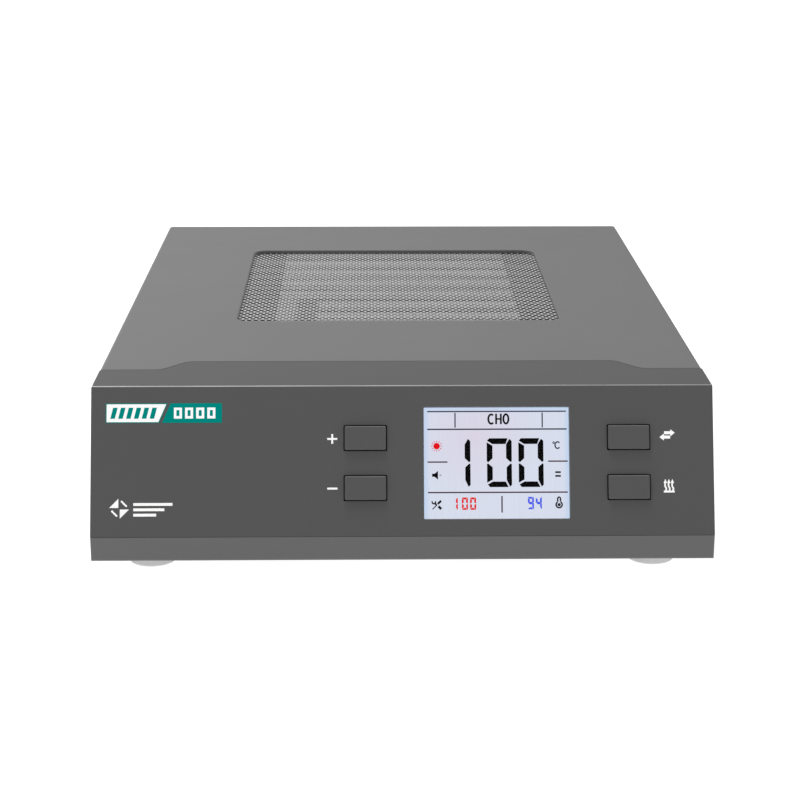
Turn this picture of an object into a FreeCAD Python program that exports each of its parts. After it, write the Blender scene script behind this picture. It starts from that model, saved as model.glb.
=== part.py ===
import FreeCAD, Part
import math
import os
import re
import Sketcher
from FreeCAD import Placement, Rotation, Vector

# Benchtop infrared preheating station: a low sheet-metal case with a perforated heater window in
# its top, a row of quartz heating tubes under it, and a sloped moulded control front.
# Millimetres. Origin at the centre of the footprint, on the surface it stands on.
# +X to the operator's right, +Y to the rear, +Z up.

DIMENSIONS = [
    # case
    ("case_width", 247.0, "top cover and front moulding, side to side"),
    ("case_depth", 310.5, "top front edge to the back of the case"),
    ("case_height", 65.9, "case without its feet"),
    ("rear_proud", 3.5, "inlet flange behind the case"),
    ("gauge", 1.0, "cover sheet thickness"),
    ("pan_gauge", 1.2, "base pan and rear panel thickness"),
    ("bend", 1.8, "outside radius of the cover's folds"),
    ("seam", 0.35, "gap between neighbouring shells"),
    ("flange_rise", 12.0, "height of the pan's upturned flanges"),
    # moulded front
    ("bezel_wall", 2.5, "front moulding wall"),
    ("cheek_wall", 1.8, "front moulding side wall"),
    ("face_run", 21.75, "how far the sloped face leans forward"),
    ("face_drop", 55.7, "height of the sloped face"),
    ("band_side", 23.4, "top band depth at the sides"),
    ("band_mid", 35.5, "top band depth in the middle"),
    ("band_inner", 88.3, "half width where the band is deepest"),
    ("band_outer", 98.0, "half width where the band is shallowest"),
    ("band_turn", 6.0, "radius of the band's curves"),
    ("edge_round", 0.9, "radius along the moulding's outer edges"),
    # heater window
    ("window_width", 145.4, "heater window, side to side"),
    ("window_length", 147.3, "heater window, front to back"),
    ("window_front", 102.3, "top front edge to the window"),
    ("window_corner", 7.0, "window corner radius"),
    ("window_recess", 1.9, "depth of the folded window rim"),
    ("guard_sheet", 0.2, "perforated guard thickness"),
    ("guard_lap", 3.0, "guard hidden under the rim"),
    ("hole_pitch", 3.0, "perforation pitch, staggered at 60 degrees"),
    ("hole_radius", 1.2, "perforation radius"),
    # heater
    ("tube_count", 7, "quartz tubes"),
    ("tube_pitch", 21.8, "tube spacing"),
    ("tube_radius", 9.5, "quartz tube outside radius"),
    ("tube_wall", 1.5, "quartz tube wall"),
    ("tube_depth", 4.2, "top of the case to the top of the tubes"),
    ("tube_length", 118.0, "quartz tube length"),
    ("tray_wall", 0.8, "reflector and shield sheet"),
    # controls on the sloped face; distances down the face are from its top edge
    ("screen_left", 8.2, "display window, left side"),
    ("screen_right", 66.25, "display window, right side"),
    ("screen_top", 8.6, "display window, upper side"),
    ("screen_bottom", 53.2, "display window, lower side"),
    ("button_wide", 17.3, "button aperture width"),
    ("button_tall", 10.3, "button aperture height"),
    ("button_gap", 0.45, "gap round a button cap"),
    ("button_proud", 1.3, "cap height above the face"),
    ("left_column", -14.87, "centre of the plus and minus buttons"),
    ("right_column", 89.55, "centre of the swap and heat buttons"),
    ("upper_row", 20.95, "centre of the upper buttons"),
    ("lower_row", 40.75, "centre of the lower buttons"),
    ("board_back", 12.0, "face to the back of the control board"),
    ("board_thick", 1.6, "circuit board thickness"),
    ("switch_tall", 3.5, "tact switch body height"),
    # feet
    ("foot_height", 8.0, "rubber foot height"),
    ("foot_radius", 9.9, "rubber foot radius"),
    ("foot_side", 101.6, "foot centre from the middle"),
    ("foot_front", 23.8, "front feet behind the foremost edge"),
    ("foot_rear", 26.0, "rear feet ahead of the back of the case"),
    # rear panel fittings
    ("inlet_x", 78.0, "mains inlet centre"),
    ("rocker_x", 40.0, "power switch centre"),
    ("fitting_z", 40.0, "height of the rear fittings' centre"),
    ("rocker_tilt", 10.0, "rocker angle either side of level, degrees"),
]

DERIVED = {
    "front_y": "(0 - (face_run + case_depth + rear_proud) / 2)",
    "edge_y": "(front_y + face_run)",
    "back_y": "(edge_y + case_depth)",
    "base_z": "foot_height",
    "top_z": "(base_z + case_height)",
    "half_width": "(case_width / 2)",
    "face_length": "sqrt(face_run^2 + face_drop^2)",
    "tilt_sin": "(face_run / face_length)",
    "tilt_cos": "(face_drop / face_length)",
    "window_mid": "(edge_y + window_front + window_length / 2)",
    "guard_top": "(top_z - window_recess)",
    "guard_low": "(guard_top - guard_sheet)",
    "tube_z": "(top_z - tube_depth - tube_radius)",
    "board_front": "(board_thick - board_back)",
    "switch_top": "(board_front + switch_tall)",
    "pan_top": "(base_z + pan_gauge)",
    "pan_half": "(half_width - cheek_wall - 0.3)",
    "panel_y": "(back_y - pan_gauge)",
    "face_foot": "(top_z - face_drop)",
    "shell_low": "(pan_top + 0.2)",
    "skirt_y": "(front_y + pan_gauge + 0.3)",
    "skirt_in": "(pan_gauge + 0.3 + bezel_wall)",
}
FACE_TURN = "90 deg - atan(face_run / face_drop)"
doc = FreeCAD.newDocument("preheater")
sheet = doc.addObject("Spreadsheet::Sheet", "Dims")
for row, (alias, number, note) in enumerate(DIMENSIONS, 1):
    sheet.set(f"A{row}", alias)
    sheet.set(f"B{row}", str(number))
    sheet.set(f"C{row}", note)
    sheet.setAlias(f"B{row}", alias)
doc.recompute()

ALIASES = re.compile(r"\b(" + "|".join(alias for alias, _, _ in DIMENSIONS) + r")\b")
SHORTHAND = re.compile(r"\b(" + "|".join(DERIVED) + r")\b")
nodes = []


# ---------------------------------------------------------------- expressions and helpers

def expand(text):
    """Spell out the derived names, then point every dimension at its cell."""
    text = str(text)
    while SHORTHAND.search(text):
        text = SHORTHAND.sub(lambda hit: DERIVED[hit.group(0)], text)
    return ALIASES.sub(r"Dims.\g<0>", text)


def value(text):
    return float(sheet.evalExpression(expand(text)))


FACE_NORMAL = Vector(0, -value("face_drop"), value("face_run")).normalize()


def bind(item, prop, text):
    item.setExpression(prop, expand(text))


def place(item, spot):
    for axis, text in zip("xyz", spot):
        bind(item, "Placement.Base." + axis, text)


def keep(item, label):
    """Name a finished sub-part and list it for export."""
    item.Label = label
    nodes.append(item)
    return item


def on_face(x, down, out):
    """World place of a point on the sloped face: down the slope, and out along its normal."""
    return (x, f"edge_y - ({down}) * tilt_sin - ({out}) * tilt_cos",
            f"top_z - ({down}) * tilt_cos + ({out}) * tilt_sin")


def lean(item):
    """Turn a solid so that its X lies across the face, Y up the slope and Z out of it."""
    item.Placement = Placement(Vector(), Rotation(Vector(1, 0, 0), 45))
    bind(item, "Placement.Rotation.Angle", FACE_TURN)


def box(name, x, y, z):
    item = doc.addObject("Part::Box", name)
    for prop, (low, high) in zip(("Length", "Width", "Height"), (x, y, z)):
        bind(item, prop, f"({high}) - ({low})")
    place(item, (x[0], y[0], z[0]))
    return item


def face_box(name, x, down, out):
    item = doc.addObject("Part::Box", name)
    for prop, (low, high) in zip(("Length", "Width", "Height"), (x, down, out)):
        bind(item, prop, f"({high}) - ({low})")
    lean(item)
    place(item, on_face(x[0], down[1], out[0]))
    return item


AXES = {
    "x": Rotation(Vector(0, 1, 0), 90),
    "y": Rotation(Vector(1, 0, 0), -90),
    "z": Rotation(),
}


def rod(name, axis, radius, length, start):
    """Cylinder along an axis of the frame, from its start."""
    item = doc.addObject("Part::Cylinder", name)
    bind(item, "Radius", radius)
    bind(item, "Height", length)
    item.Placement = Placement(Vector(), AXES[axis])
    place(item, start)
    return item


def face_rod(name, radius, x, down, out):
    """Cylinder square to the sloped face, between two distances out of it."""
    item = doc.addObject("Part::Cylinder", name)
    bind(item, "Radius", radius)
    bind(item, "Height", f"({out[1]}) - ({out[0]})")
    lean(item)
    place(item, on_face(x, down, out[0]))
    return item


def join(name, items):
    if len(items) == 1:
        return items[0]
    whole = doc.addObject("Part::MultiFuse", name)
    whole.Shapes = items
    return whole


def cut(name, base, tools):
    item = doc.addObject("Part::Cut", name)
    item.Base = base
    item.Tool = join(name + "_tools", tools)
    return item


def group(name, items):
    """Identical loose pieces that share one node."""
    item = doc.addObject("Part::Compound", name)
    item.Links = items
    return item


def body(label):
    return doc.addObject("PartDesign::Body", label)


def sketch(part, plane, lift="0"):
    item = part.newObject("Sketcher::SketchObject", part.Name + "_outline")
    origin_plane = [flat for flat in part.Origin.OriginFeatures if flat.Role == plane][0]
    item.AttachmentSupport = [(origin_plane, "")]
    item.MapMode = "FlatFace"
    bind(item, "AttachmentOffset.Base.z", lift)
    return item


def face_sketch(part, out="0"):
    """Sketch on the sloped face, or parallel to it: x across, y up the slope from the top edge."""
    item = sketch(part, "XY_Plane")
    item.AttachmentOffset = Placement(Vector(), Rotation(Vector(1, 0, 0), 45))
    _, y, z = on_face("0", "0", out)
    bind(item, "AttachmentOffset.Base.y", y)
    bind(item, "AttachmentOffset.Base.z", z)
    bind(item, "AttachmentOffset.Rotation.Angle", FACE_TURN)
    return item


def hold(item, kind, geometry, point, text):
    index = item.addConstraint(Sketcher.Constraint(kind, -1, 1, geometry, point, value(text)))
    bind(item, f"Constraints[{index}]", text)


def outline(item, corners):
    """Closed polygon whose corners are bound to the sheet."""
    first = item.GeometryCount
    count = len(corners)
    spots = [Vector(value(x), value(y), 0) for x, y in corners]
    for i in range(count):
        item.addGeometry(Part.LineSegment(spots[i], spots[(i + 1) % count]))
    for i in range(count):
        item.addConstraint(Sketcher.Constraint("Coincident", first + i, 2, first + (i + 1) % count, 1))
    for i, (x, y) in enumerate(corners):
        hold(item, "DistanceX", first + i, 1, x)
        hold(item, "DistanceY", first + i, 1, y)


def rectangle(item, x, y):
    outline(item, [(x[0], y[0]), (x[1], y[0]), (x[1], y[1]), (x[0], y[1])])


def ring(item, x, y, radius):
    centre = Vector(value(x), value(y), 0)
    index = item.addGeometry(Part.Circle(centre, Vector(0, 0, 1), value(radius)))
    hold(item, "DistanceX", index, 3, x)
    hold(item, "DistanceY", index, 3, y)
    size = item.addConstraint(Sketcher.Constraint("Radius", index, value(radius)))
    bind(item, f"Constraints[{size}]", radius)


def pad(part, profile, length, both_ways=False, backwards=False):
    item = part.newObject("PartDesign::Pad", part.Name + "_pad")
    item.Profile = profile
    item.SideType = "Symmetric" if both_ways else "One side"
    item.Reversed = backwards
    bind(item, "Length", length)
    doc.recompute()
    return item


def pocket(part, profile, length, both_ways=False, backwards=False):
    before = part.Tip.Shape.Volume
    item = part.newObject("PartDesign::Pocket", part.Name + "_pocket")
    item.Profile = profile
    item.SideType = "Symmetric" if both_ways else "One side"
    item.Reversed = backwards
    bind(item, "Length", length)
    doc.recompute()
    if item.Shape.Volume >= before - 1e-6:
        raise RuntimeError(item.Name + " removed nothing")
    return item


def repeat(part, feature, axis, spread, count):
    """Row of copies of a feature along an axis of its sketch."""
    item = part.newObject("PartDesign::LinearPattern", part.Name + "_row")
    item.Originals = [feature]
    item.Direction = (feature.Profile[0], [axis])
    bind(item, "Length", spread)
    item.Occurrences = count
    part.Tip = item
    doc.recompute()
    return item


def soften(part, radius, wanted):
    """Fillet the edges of the body so far that the test picks."""
    doc.recompute()
    base = part.Tip
    names = [f"Edge{i}" for i, edge in enumerate(base.Shape.Edges, 1) if wanted(edge)]
    item = part.newObject("PartDesign::Fillet", part.Name + "_fillet")
    item.Base = (base, names)
    bind(item, "Radius", radius)
    doc.recompute()
    return item


def straight(edge, direction):
    """True when the edge is a straight line along the direction."""
    if len(edge.Vertexes) != 2:
        return False
    chord = edge.Vertexes[1].Point - edge.Vertexes[0].Point
    if chord.Length < 0.01 or not near(chord.Length, edge.Length, 1e-4):
        return False
    return abs(chord.normalize().dot(direction)) > 0.9999


def inside(edge, low, high):
    """True when the edge lies in the box between two corners."""
    room = edge.BoundBox
    lows = (room.XMin, room.YMin, room.ZMin)
    highs = (room.XMax, room.YMax, room.ZMax)
    slack = 0.01
    return (all(edge_low >= limit - slack for edge_low, limit in zip(lows, low))
            and all(edge_high <= limit + slack for edge_high, limit in zip(highs, high)))


def near(number, target, slack=0.05):
    return abs(number - target) < slack


def pipe(points, radius, bend):
    """Round lead along straight runs joined by tangent arcs."""
    spots = [Vector(value(x), value(y), value(z)) for x, y, z in points]
    edges = []
    start = spots[0]
    for before, corner, after in zip(spots, spots[1:], spots[2:]):
        into = (corner - before).normalize()
        away = (after - corner).normalize()
        half_turn = into.getAngle(away) / 2
        reach = bend * math.tan(half_turn)
        arc_start = corner - into * reach
        arc_end = corner + away * reach
        inward = (away - into).normalize()
        middle = corner + inward * (bend / math.cos(half_turn) - bend)
        edges.append(Part.LineSegment(start, arc_start).toShape())
        edges.append(Part.Arc(arc_start, middle, arc_end).toShape())
        start = arc_end
    edges.append(Part.LineSegment(start, spots[-1]).toShape())
    section = Part.Wire([Part.Circle(spots[0], spots[1] - spots[0], radius).toShape()])
    return Part.Wire(edges).makePipeShell([section], True, False)


def feature(label, shape):
    item = doc.addObject("Part::Feature", label)
    item.Shape = shape
    return item


X_AXIS = Vector(1, 0, 0)
Y_AXIS = Vector(0, 1, 0)
Z_AXIS = Vector(0, 0, 1)


# ---------------------------------------------------------------- case shells

# places of the screws, posts and feet, in plan or on the sloped face
COVER_SCREWS = ("edge_y + 45", "window_mid", "back_y - 20")
BEZEL_SCREWS = (("-62", "front_y + skirt_in + 3"), ("62", "front_y + skirt_in + 3"))
BOARD_POSTS = (("-36", "6"), ("-36", "53"), ("108", "6"), ("108", "53"))
POWER_POSTS = (("-76", "edge_y + 34"), ("76", "edge_y + 34"), ("-76", "edge_y + 82"), ("76", "edge_y + 82"))
SHIELD_POSTS = (("-70", "window_mid - 60"), ("70", "window_mid - 60"),
                ("-70", "window_mid + 60"), ("70", "window_mid + 60"))
FEET = {
    "foot_front_left": ("0 - foot_side", "front_y + foot_front"),
    "foot_front_right": ("foot_side", "front_y + foot_front"),
    "foot_rear_left": ("0 - foot_side", "back_y - foot_rear"),
    "foot_rear_right": ("foot_side", "back_y - foot_rear"),
}
PANEL_SCREWS = ("-100", "-30", "10", "110")


def window_span(grow):
    """Heater window's X and Y limits, grown by an amount."""
    across = (f"0 - window_width / 2 - {grow}", f"window_width / 2 + {grow}")
    along = (f"edge_y + window_front - {grow}", f"edge_y + window_front + window_length + {grow}")
    return across, along


def top_cover():
    """Folded sheet: roof, two sides and a window with a folded rim."""
    part = body("top_cover")
    start = "edge_y + band_side + seam"
    low = "shell_low"
    shell = sketch(part, "XZ_Plane", f"0 - ({start})")
    rectangle(shell, ("0 - half_width", "half_width"), (low, "top_z"))
    pad(part, shell, f"back_y - ({start})", backwards=True)
    top = value("top_z")
    soften(part, "bend", lambda edge: straight(edge, Y_AXIS) and near(edge.BoundBox.ZMin, top))
    hollow = sketch(part, "XZ_Plane", f"0 - ({start}) + 1")
    rectangle(hollow, ("0 - half_width + gauge", "half_width - gauge"), ("base_z - 1", "top_z - gauge"))
    pocket(part, hollow, "case_depth + 40")
    ceiling = value("top_z - gauge")
    soften(part, "bend - gauge", lambda edge: straight(edge, Y_AXIS) and near(edge.BoundBox.ZMin, ceiling)
           and near(edge.BoundBox.ZMax, ceiling)
           and abs(edge.BoundBox.XMin) < value("half_width - gauge / 2"))
    # tongue of the front moulding's top band
    notch = sketch(part, "XY_Plane", "top_z + 1")
    rear = "edge_y + band_mid + seam"
    outline(notch, [("0 - band_outer - seam / 2", start), ("0 - band_outer - seam / 2", f"{start} - 5"),
                    ("band_outer + seam / 2", f"{start} - 5"), ("band_outer + seam / 2", start),
                    ("band_inner + seam / 2", rear), ("0 - band_inner - seam / 2", rear)])
    pocket(part, notch, "gauge + 2")
    reach = value("band_outer + 2")
    soften(part, "band_turn", lambda edge: straight(edge, Z_AXIS) and near(edge.Length, value("gauge"))
           and inside(edge, (-reach, value(start) - 1, 0), (reach, value(rear) + 1, top)))
    # window: a rim block under the roof, then the opening through both
    rim = sketch(part, "XY_Plane", "guard_top")
    rectangle(rim, *window_span("gauge"))
    pad(part, rim, "window_recess - gauge / 2")
    opening = sketch(part, "XY_Plane", "top_z + 1")
    rectangle(opening, *window_span("0"))
    pocket(part, opening, "window_recess + 2")
    half = value("window_width / 2")
    soften(part, "window_corner", lambda edge: straight(edge, Z_AXIS)
           and near(abs(edge.BoundBox.XMin), half) and near(edge.BoundBox.ZMax, value("top_z")))
    soften(part, "window_corner + gauge", lambda edge: straight(edge, Z_AXIS)
           and near(abs(edge.BoundBox.XMin), half + value("gauge")) and edge.BoundBox.ZMax < value("top_z"))
    soften(part, "0.5", lambda edge: near(edge.BoundBox.ZMin, value("top_z"))
           and inside(edge, (-half, value("edge_y + window_front"), 0),
                      (half, value("edge_y + window_front + window_length"), top)))
    # cooling slots in both sides
    slot = sketch(part, "YZ_Plane")
    rectangle(slot, ("window_mid + 10", "window_mid + 13"), ("base_z + 20", "base_z + 44"))
    repeat(part, pocket(part, slot, "case_width + 10", both_ways=True), "H_Axis", "98", 15)
    # cover screw holes through both sides
    holes = sketch(part, "YZ_Plane")
    for y in COVER_SCREWS:
        ring(holes, y, "base_z + 6.5", "1.65")
    pocket(part, holes, "case_width + 10", both_ways=True)
    return keep(part, "top_cover")



def base_pan():
    """Folded tray: floor, two sides, a rear flange and the wide front lip under the control face."""
    part = body("base_pan")
    tray_front = "front_y + skirt_in + 8"
    blank = sketch(part, "XY_Plane", "base_z")
    rectangle(blank, ("0 - pan_half", "pan_half"), (tray_front, "panel_y"))
    pad(part, blank, "flange_rise")
    low = value("base_z")
    soften(part, "1.5", lambda edge: near(edge.BoundBox.ZMax, low)
           and (straight(edge, Y_AXIS) or near(edge.BoundBox.YMin, value("panel_y"))))
    hollow = sketch(part, "XY_Plane", "base_z + flange_rise + 1")
    rectangle(hollow, ("0 - pan_half + pan_gauge", "pan_half - pan_gauge"),
              (f"{tray_front} - 1", "panel_y - pan_gauge"))
    pocket(part, hollow, "flange_rise + 1 - pan_gauge")
    apron = sketch(part, "XY_Plane", "base_z")
    rectangle(apron, ("0 - pan_half", "pan_half"), ("front_y", f"{tray_front} + 1"))
    pad(part, apron, "pan_gauge")
    lip = sketch(part, "XZ_Plane", "0 - front_y")
    rectangle(lip, ("0 - half_width", "half_width"), ("base_z", "face_foot - 0.15"))
    pad(part, lip, "pan_gauge", backwards=True)
    front = value("front_y")
    soften(part, "1", lambda edge: near(edge.BoundBox.YMin, front) and near(edge.BoundBox.YMax, front)
           and (near(edge.BoundBox.ZMax, low) or straight(edge, Z_AXIS)))
    holes = sketch(part, "XY_Plane", "base_z + 5")
    for x, y in (*FEET.values(), *BEZEL_SCREWS, *POWER_POSTS, *SHIELD_POSTS):
        ring(holes, x, y, "1.65")
    pocket(part, holes, "10")
    side_holes = sketch(part, "YZ_Plane")
    for y in COVER_SCREWS:
        ring(side_holes, y, "base_z + 6.5", "1.65")
    pocket(part, side_holes, "case_width + 10", both_ways=True)
    rear_holes = sketch(part, "XZ_Plane", "0 - back_y")
    for x in PANEL_SCREWS:
        ring(rear_holes, x, "base_z + 6.5", "1.65")
    pocket(part, rear_holes, "6", backwards=True)
    vent = sketch(part, "XY_Plane", "base_z + 5")
    rectangle(vent, ("-60", "-57"), ("window_mid - 45", "window_mid + 45"))
    repeat(part, pocket(part, vent, "10"), "H_Axis", "117", 14)
    return keep(part, "base_pan")


def rear_panel():
    part = body("rear_panel")
    plate = sketch(part, "XZ_Plane", "0 - back_y")
    rectangle(plate, ("0 - half_width + gauge + 0.2", "half_width - gauge - 0.2"),
              ("base_z", "top_z - gauge - 0.2"))
    pad(part, plate, "pan_gauge")
    holes = sketch(part, "XZ_Plane", "0 - back_y - 1")
    rectangle(holes, ("inlet_x - 13.4", "inlet_x + 13.4"), ("fitting_z - 15.5", "fitting_z + 15.5"))
    rectangle(holes, ("rocker_x - 6.5", "rocker_x + 6.5"), ("fitting_z - 9.6", "fitting_z + 9.6"))
    for x in PANEL_SCREWS:
        ring(holes, x, "base_z + 6.5", "1.65")
    pocket(part, holes, "pan_gauge + 2", backwards=True)
    vent = sketch(part, "XZ_Plane", "0 - back_y - 1")
    rectangle(vent, ("-100", "-97"), ("fitting_z - 8", "fitting_z + 20"))
    repeat(part, pocket(part, vent, "pan_gauge + 2", backwards=True), "H_Axis", "108", 19)
    return keep(part, "rear_panel")


def front_bezel():
    """Moulded front: sloped control face, top band with a deeper middle, two cheeks and a skirt
    that stands behind the pan's front lip."""
    part = body("front_bezel")
    side = sketch(part, "YZ_Plane")
    outline(side, [("edge_y + band_mid", "top_z"), ("edge_y", "top_z"), ("front_y", "face_foot"),
                   ("skirt_y", "face_foot"), ("skirt_y", "shell_low"), ("edge_y + band_side", "shell_low"),
                   ("edge_y + band_side", "top_z - bezel_wall"), ("edge_y + band_mid", "top_z - bezel_wall")])
    pad(part, side, "case_width", both_ways=True)
    # outer edges, before the inside is hollowed out
    top = value("top_z")
    edge_line = value("edge_y")
    soften(part, "edge_round", lambda edge: (
        (straight(edge, X_AXIS) and near(edge.BoundBox.YMin, edge_line) and near(edge.BoundBox.ZMax, top))
        or (abs(edge.BoundBox.XMin) > value("half_width - 0.1") and edge.BoundBox.YMax < edge_line + 0.1
            and near(edge.BoundBox.ZMax, top))
        or (straight(edge, Y_AXIS) and near(edge.BoundBox.ZMin, top))))
    # inside
    slope_in = "bezel_wall * (1 - tilt_sin) / tilt_cos"
    knee = "bezel_wall * tilt_sin + (face_run + bezel_wall * tilt_cos - skirt_in) * tilt_cos / tilt_sin"
    hollow = sketch(part, "YZ_Plane")
    ceiling = "top_z - bezel_wall"
    outline(hollow, [("edge_y + band_mid + 1", ceiling), (f"edge_y + {slope_in}", ceiling),
                     ("front_y + skirt_in", f"top_z - ({knee})"), ("front_y + skirt_in", "base_z - 1"),
                     ("edge_y + band_mid + 1", "base_z - 1")])
    pocket(part, hollow, "case_width - 2 * cheek_wall", both_ways=True)
    # the band's back edge steps back in the middle
    step = sketch(part, "XY_Plane", "top_z + 1")
    for sign in ("", "0 - "):
        outline(step, [(f"{sign}band_outer", "edge_y + band_side"),
                       (f"{sign}band_inner", "edge_y + band_mid"),
                       (f"{sign}band_inner", "edge_y + band_mid + 1"),
                       (f"{sign}(half_width + 2)", "edge_y + band_mid + 1"),
                       (f"{sign}(half_width + 2)", "edge_y + band_side")])
    pocket(part, step, "bezel_wall + 2")
    reach = value("band_outer + 1")
    soften(part, "band_turn", lambda edge: straight(edge, Z_AXIS)
           and inside(edge, (-reach, edge_line + 20, value(ceiling)), (reach, edge_line + 40, top)))
    # display window and button apertures
    holes = face_sketch(part, "2")
    rectangle(holes, ("screen_left", "screen_right"), ("0 - screen_bottom", "0 - screen_top"))
    for column, row in BUTTONS.values():
        rectangle(holes, (f"{column} - button_wide / 2", f"{column} + button_wide / 2"),
                  (f"0 - {row} - button_tall / 2", f"0 - {row} + button_tall / 2"))
    pocket(part, holes, "bezel_wall + 3")
    soften(part, "0.4", lambda edge: straight(edge, FACE_NORMAL) and near(edge.Length, value("bezel_wall")))
    # posts for the control board, then their screw holes
    posts = face_sketch(part, "board_front")
    for x, down in BOARD_POSTS:
        ring(posts, x, f"0 - {down}", "3")
    pad(part, posts, "0 - board_front - bezel_wall / 2")
    bores = face_sketch(part, "board_front")
    for x, down in BOARD_POSTS:
        ring(bores, x, f"0 - {down}", "1.55")
    pocket(part, bores, "6", backwards=True)
    # bosses that stand on the pan's floor
    bosses = sketch(part, "XY_Plane", "pan_top")
    for x, y in BEZEL_SCREWS:
        ring(bosses, x, y, "4")
    pad(part, bosses, "6.6")
    boss_bores = sketch(part, "XY_Plane", "pan_top")
    for x, y in BEZEL_SCREWS:
        ring(boss_bores, x, y, "1.55")
    pocket(part, boss_bores, "5.4", backwards=True)
    return keep(part, "front_bezel")


def foot(label, x, y):
    """Rubber foot turned about its screw."""
    part = body(label)
    profile = sketch(part, "XZ_Plane")
    outline(profile, [("1.7", "foot_height"), ("foot_radius", "foot_height"), ("foot_radius - 0.1", "0.6"),
                      ("foot_radius - 0.5", "0"), ("4.4", "0"), ("4.4", "4.5"), ("1.7", "4.5")])
    turned = part.newObject("PartDesign::Revolution", label + "_turned")
    turned.Profile = profile
    turned.ReferenceAxis = (profile, ["V_Axis"])
    bind(part, "Placement.Base.x", x)
    bind(part, "Placement.Base.y", y)
    return keep(part, label)


# ---------------------------------------------------------------- heater

def guard_mesh():
    """Perforated stainless sheet: staggered round holes, set from the middle outwards.

    It is laid out in strips of a few rows, which are then fused into one sheet.
    """
    half_x = value("window_width / 2 + guard_lap")
    half_y = value("window_length / 2 + guard_lap")
    pitch = value("hole_pitch")
    radius = value("hole_radius")
    row_pitch = pitch * math.sqrt(3) / 2
    margin = radius + 0.8
    middle = value("window_mid")
    rows = int((half_y - margin) / row_pitch)
    columns = int(half_x / pitch) + 1
    strip_rows = 4
    strips = []
    for first in range(-rows, rows + 1, strip_rows):
        last = min(first + strip_rows - 1, rows)
        low = middle + (-half_y if first == -rows else (first - 0.5) * row_pitch)
        high = middle + (half_y if last == rows else (last + 0.5) * row_pitch)
        corners = [Vector(-half_x, low, 0), Vector(half_x, low, 0), Vector(half_x, high, 0),
                   Vector(-half_x, high, 0), Vector(-half_x, low, 0)]
        wires = [Part.makePolygon(corners)]
        for row in range(first, last + 1):
            shift = pitch / 2 if row % 2 else 0
            for column in range(-columns, columns + 1):
                x = column * pitch + shift
                if abs(x) <= half_x - margin:
                    spot = Vector(x, middle + row * row_pitch, 0)
                    wires.append(Part.Wire([Part.Circle(spot, Vector(0, 0, -1), radius).toShape()]))
        strips.append(Part.Face(wires).extrude(Vector(0, 0, value("guard_sheet"))))
    part = feature("guard_mesh", strips[0].multiFuse(strips[1:]))
    place(part, ("0", "0", "guard_low"))
    return keep(part, "guard_mesh")


def guard_frame():
    across, along = window_span("8")
    inner_across, inner_along = window_span("0.5")
    plate = box("guard_frame_plate", across, along, ("guard_low - tray_wall", "guard_low"))
    hole = box("guard_frame_hole", inner_across, inner_along, ("guard_low - 5", "guard_low + 5"))
    return keep(cut("guard_frame", plate, [hole]), "guard_frame")


def open_tray(label, half_x, half_y, low, high, extra=()):
    """Sheet tray with no lid, centred under the window."""
    outer = box(label + "_outer", (f"0 - ({half_x})", half_x),
                (f"window_mid - ({half_y})", f"window_mid + ({half_y})"), (low, high))
    inner = box(label + "_inner", (f"tray_wall - ({half_x})", f"{half_x} - tray_wall"),
                (f"window_mid - ({half_y}) + tray_wall", f"window_mid + {half_y} - tray_wall"),
                (f"{low} + tray_wall", f"{high} + 5"))
    return keep(cut(label, outer, [inner, *extra]), label)


PROBE_Y = "window_mid - 2.5 * tube_pitch"
PROBE_Z = "top_z - 8"


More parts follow.
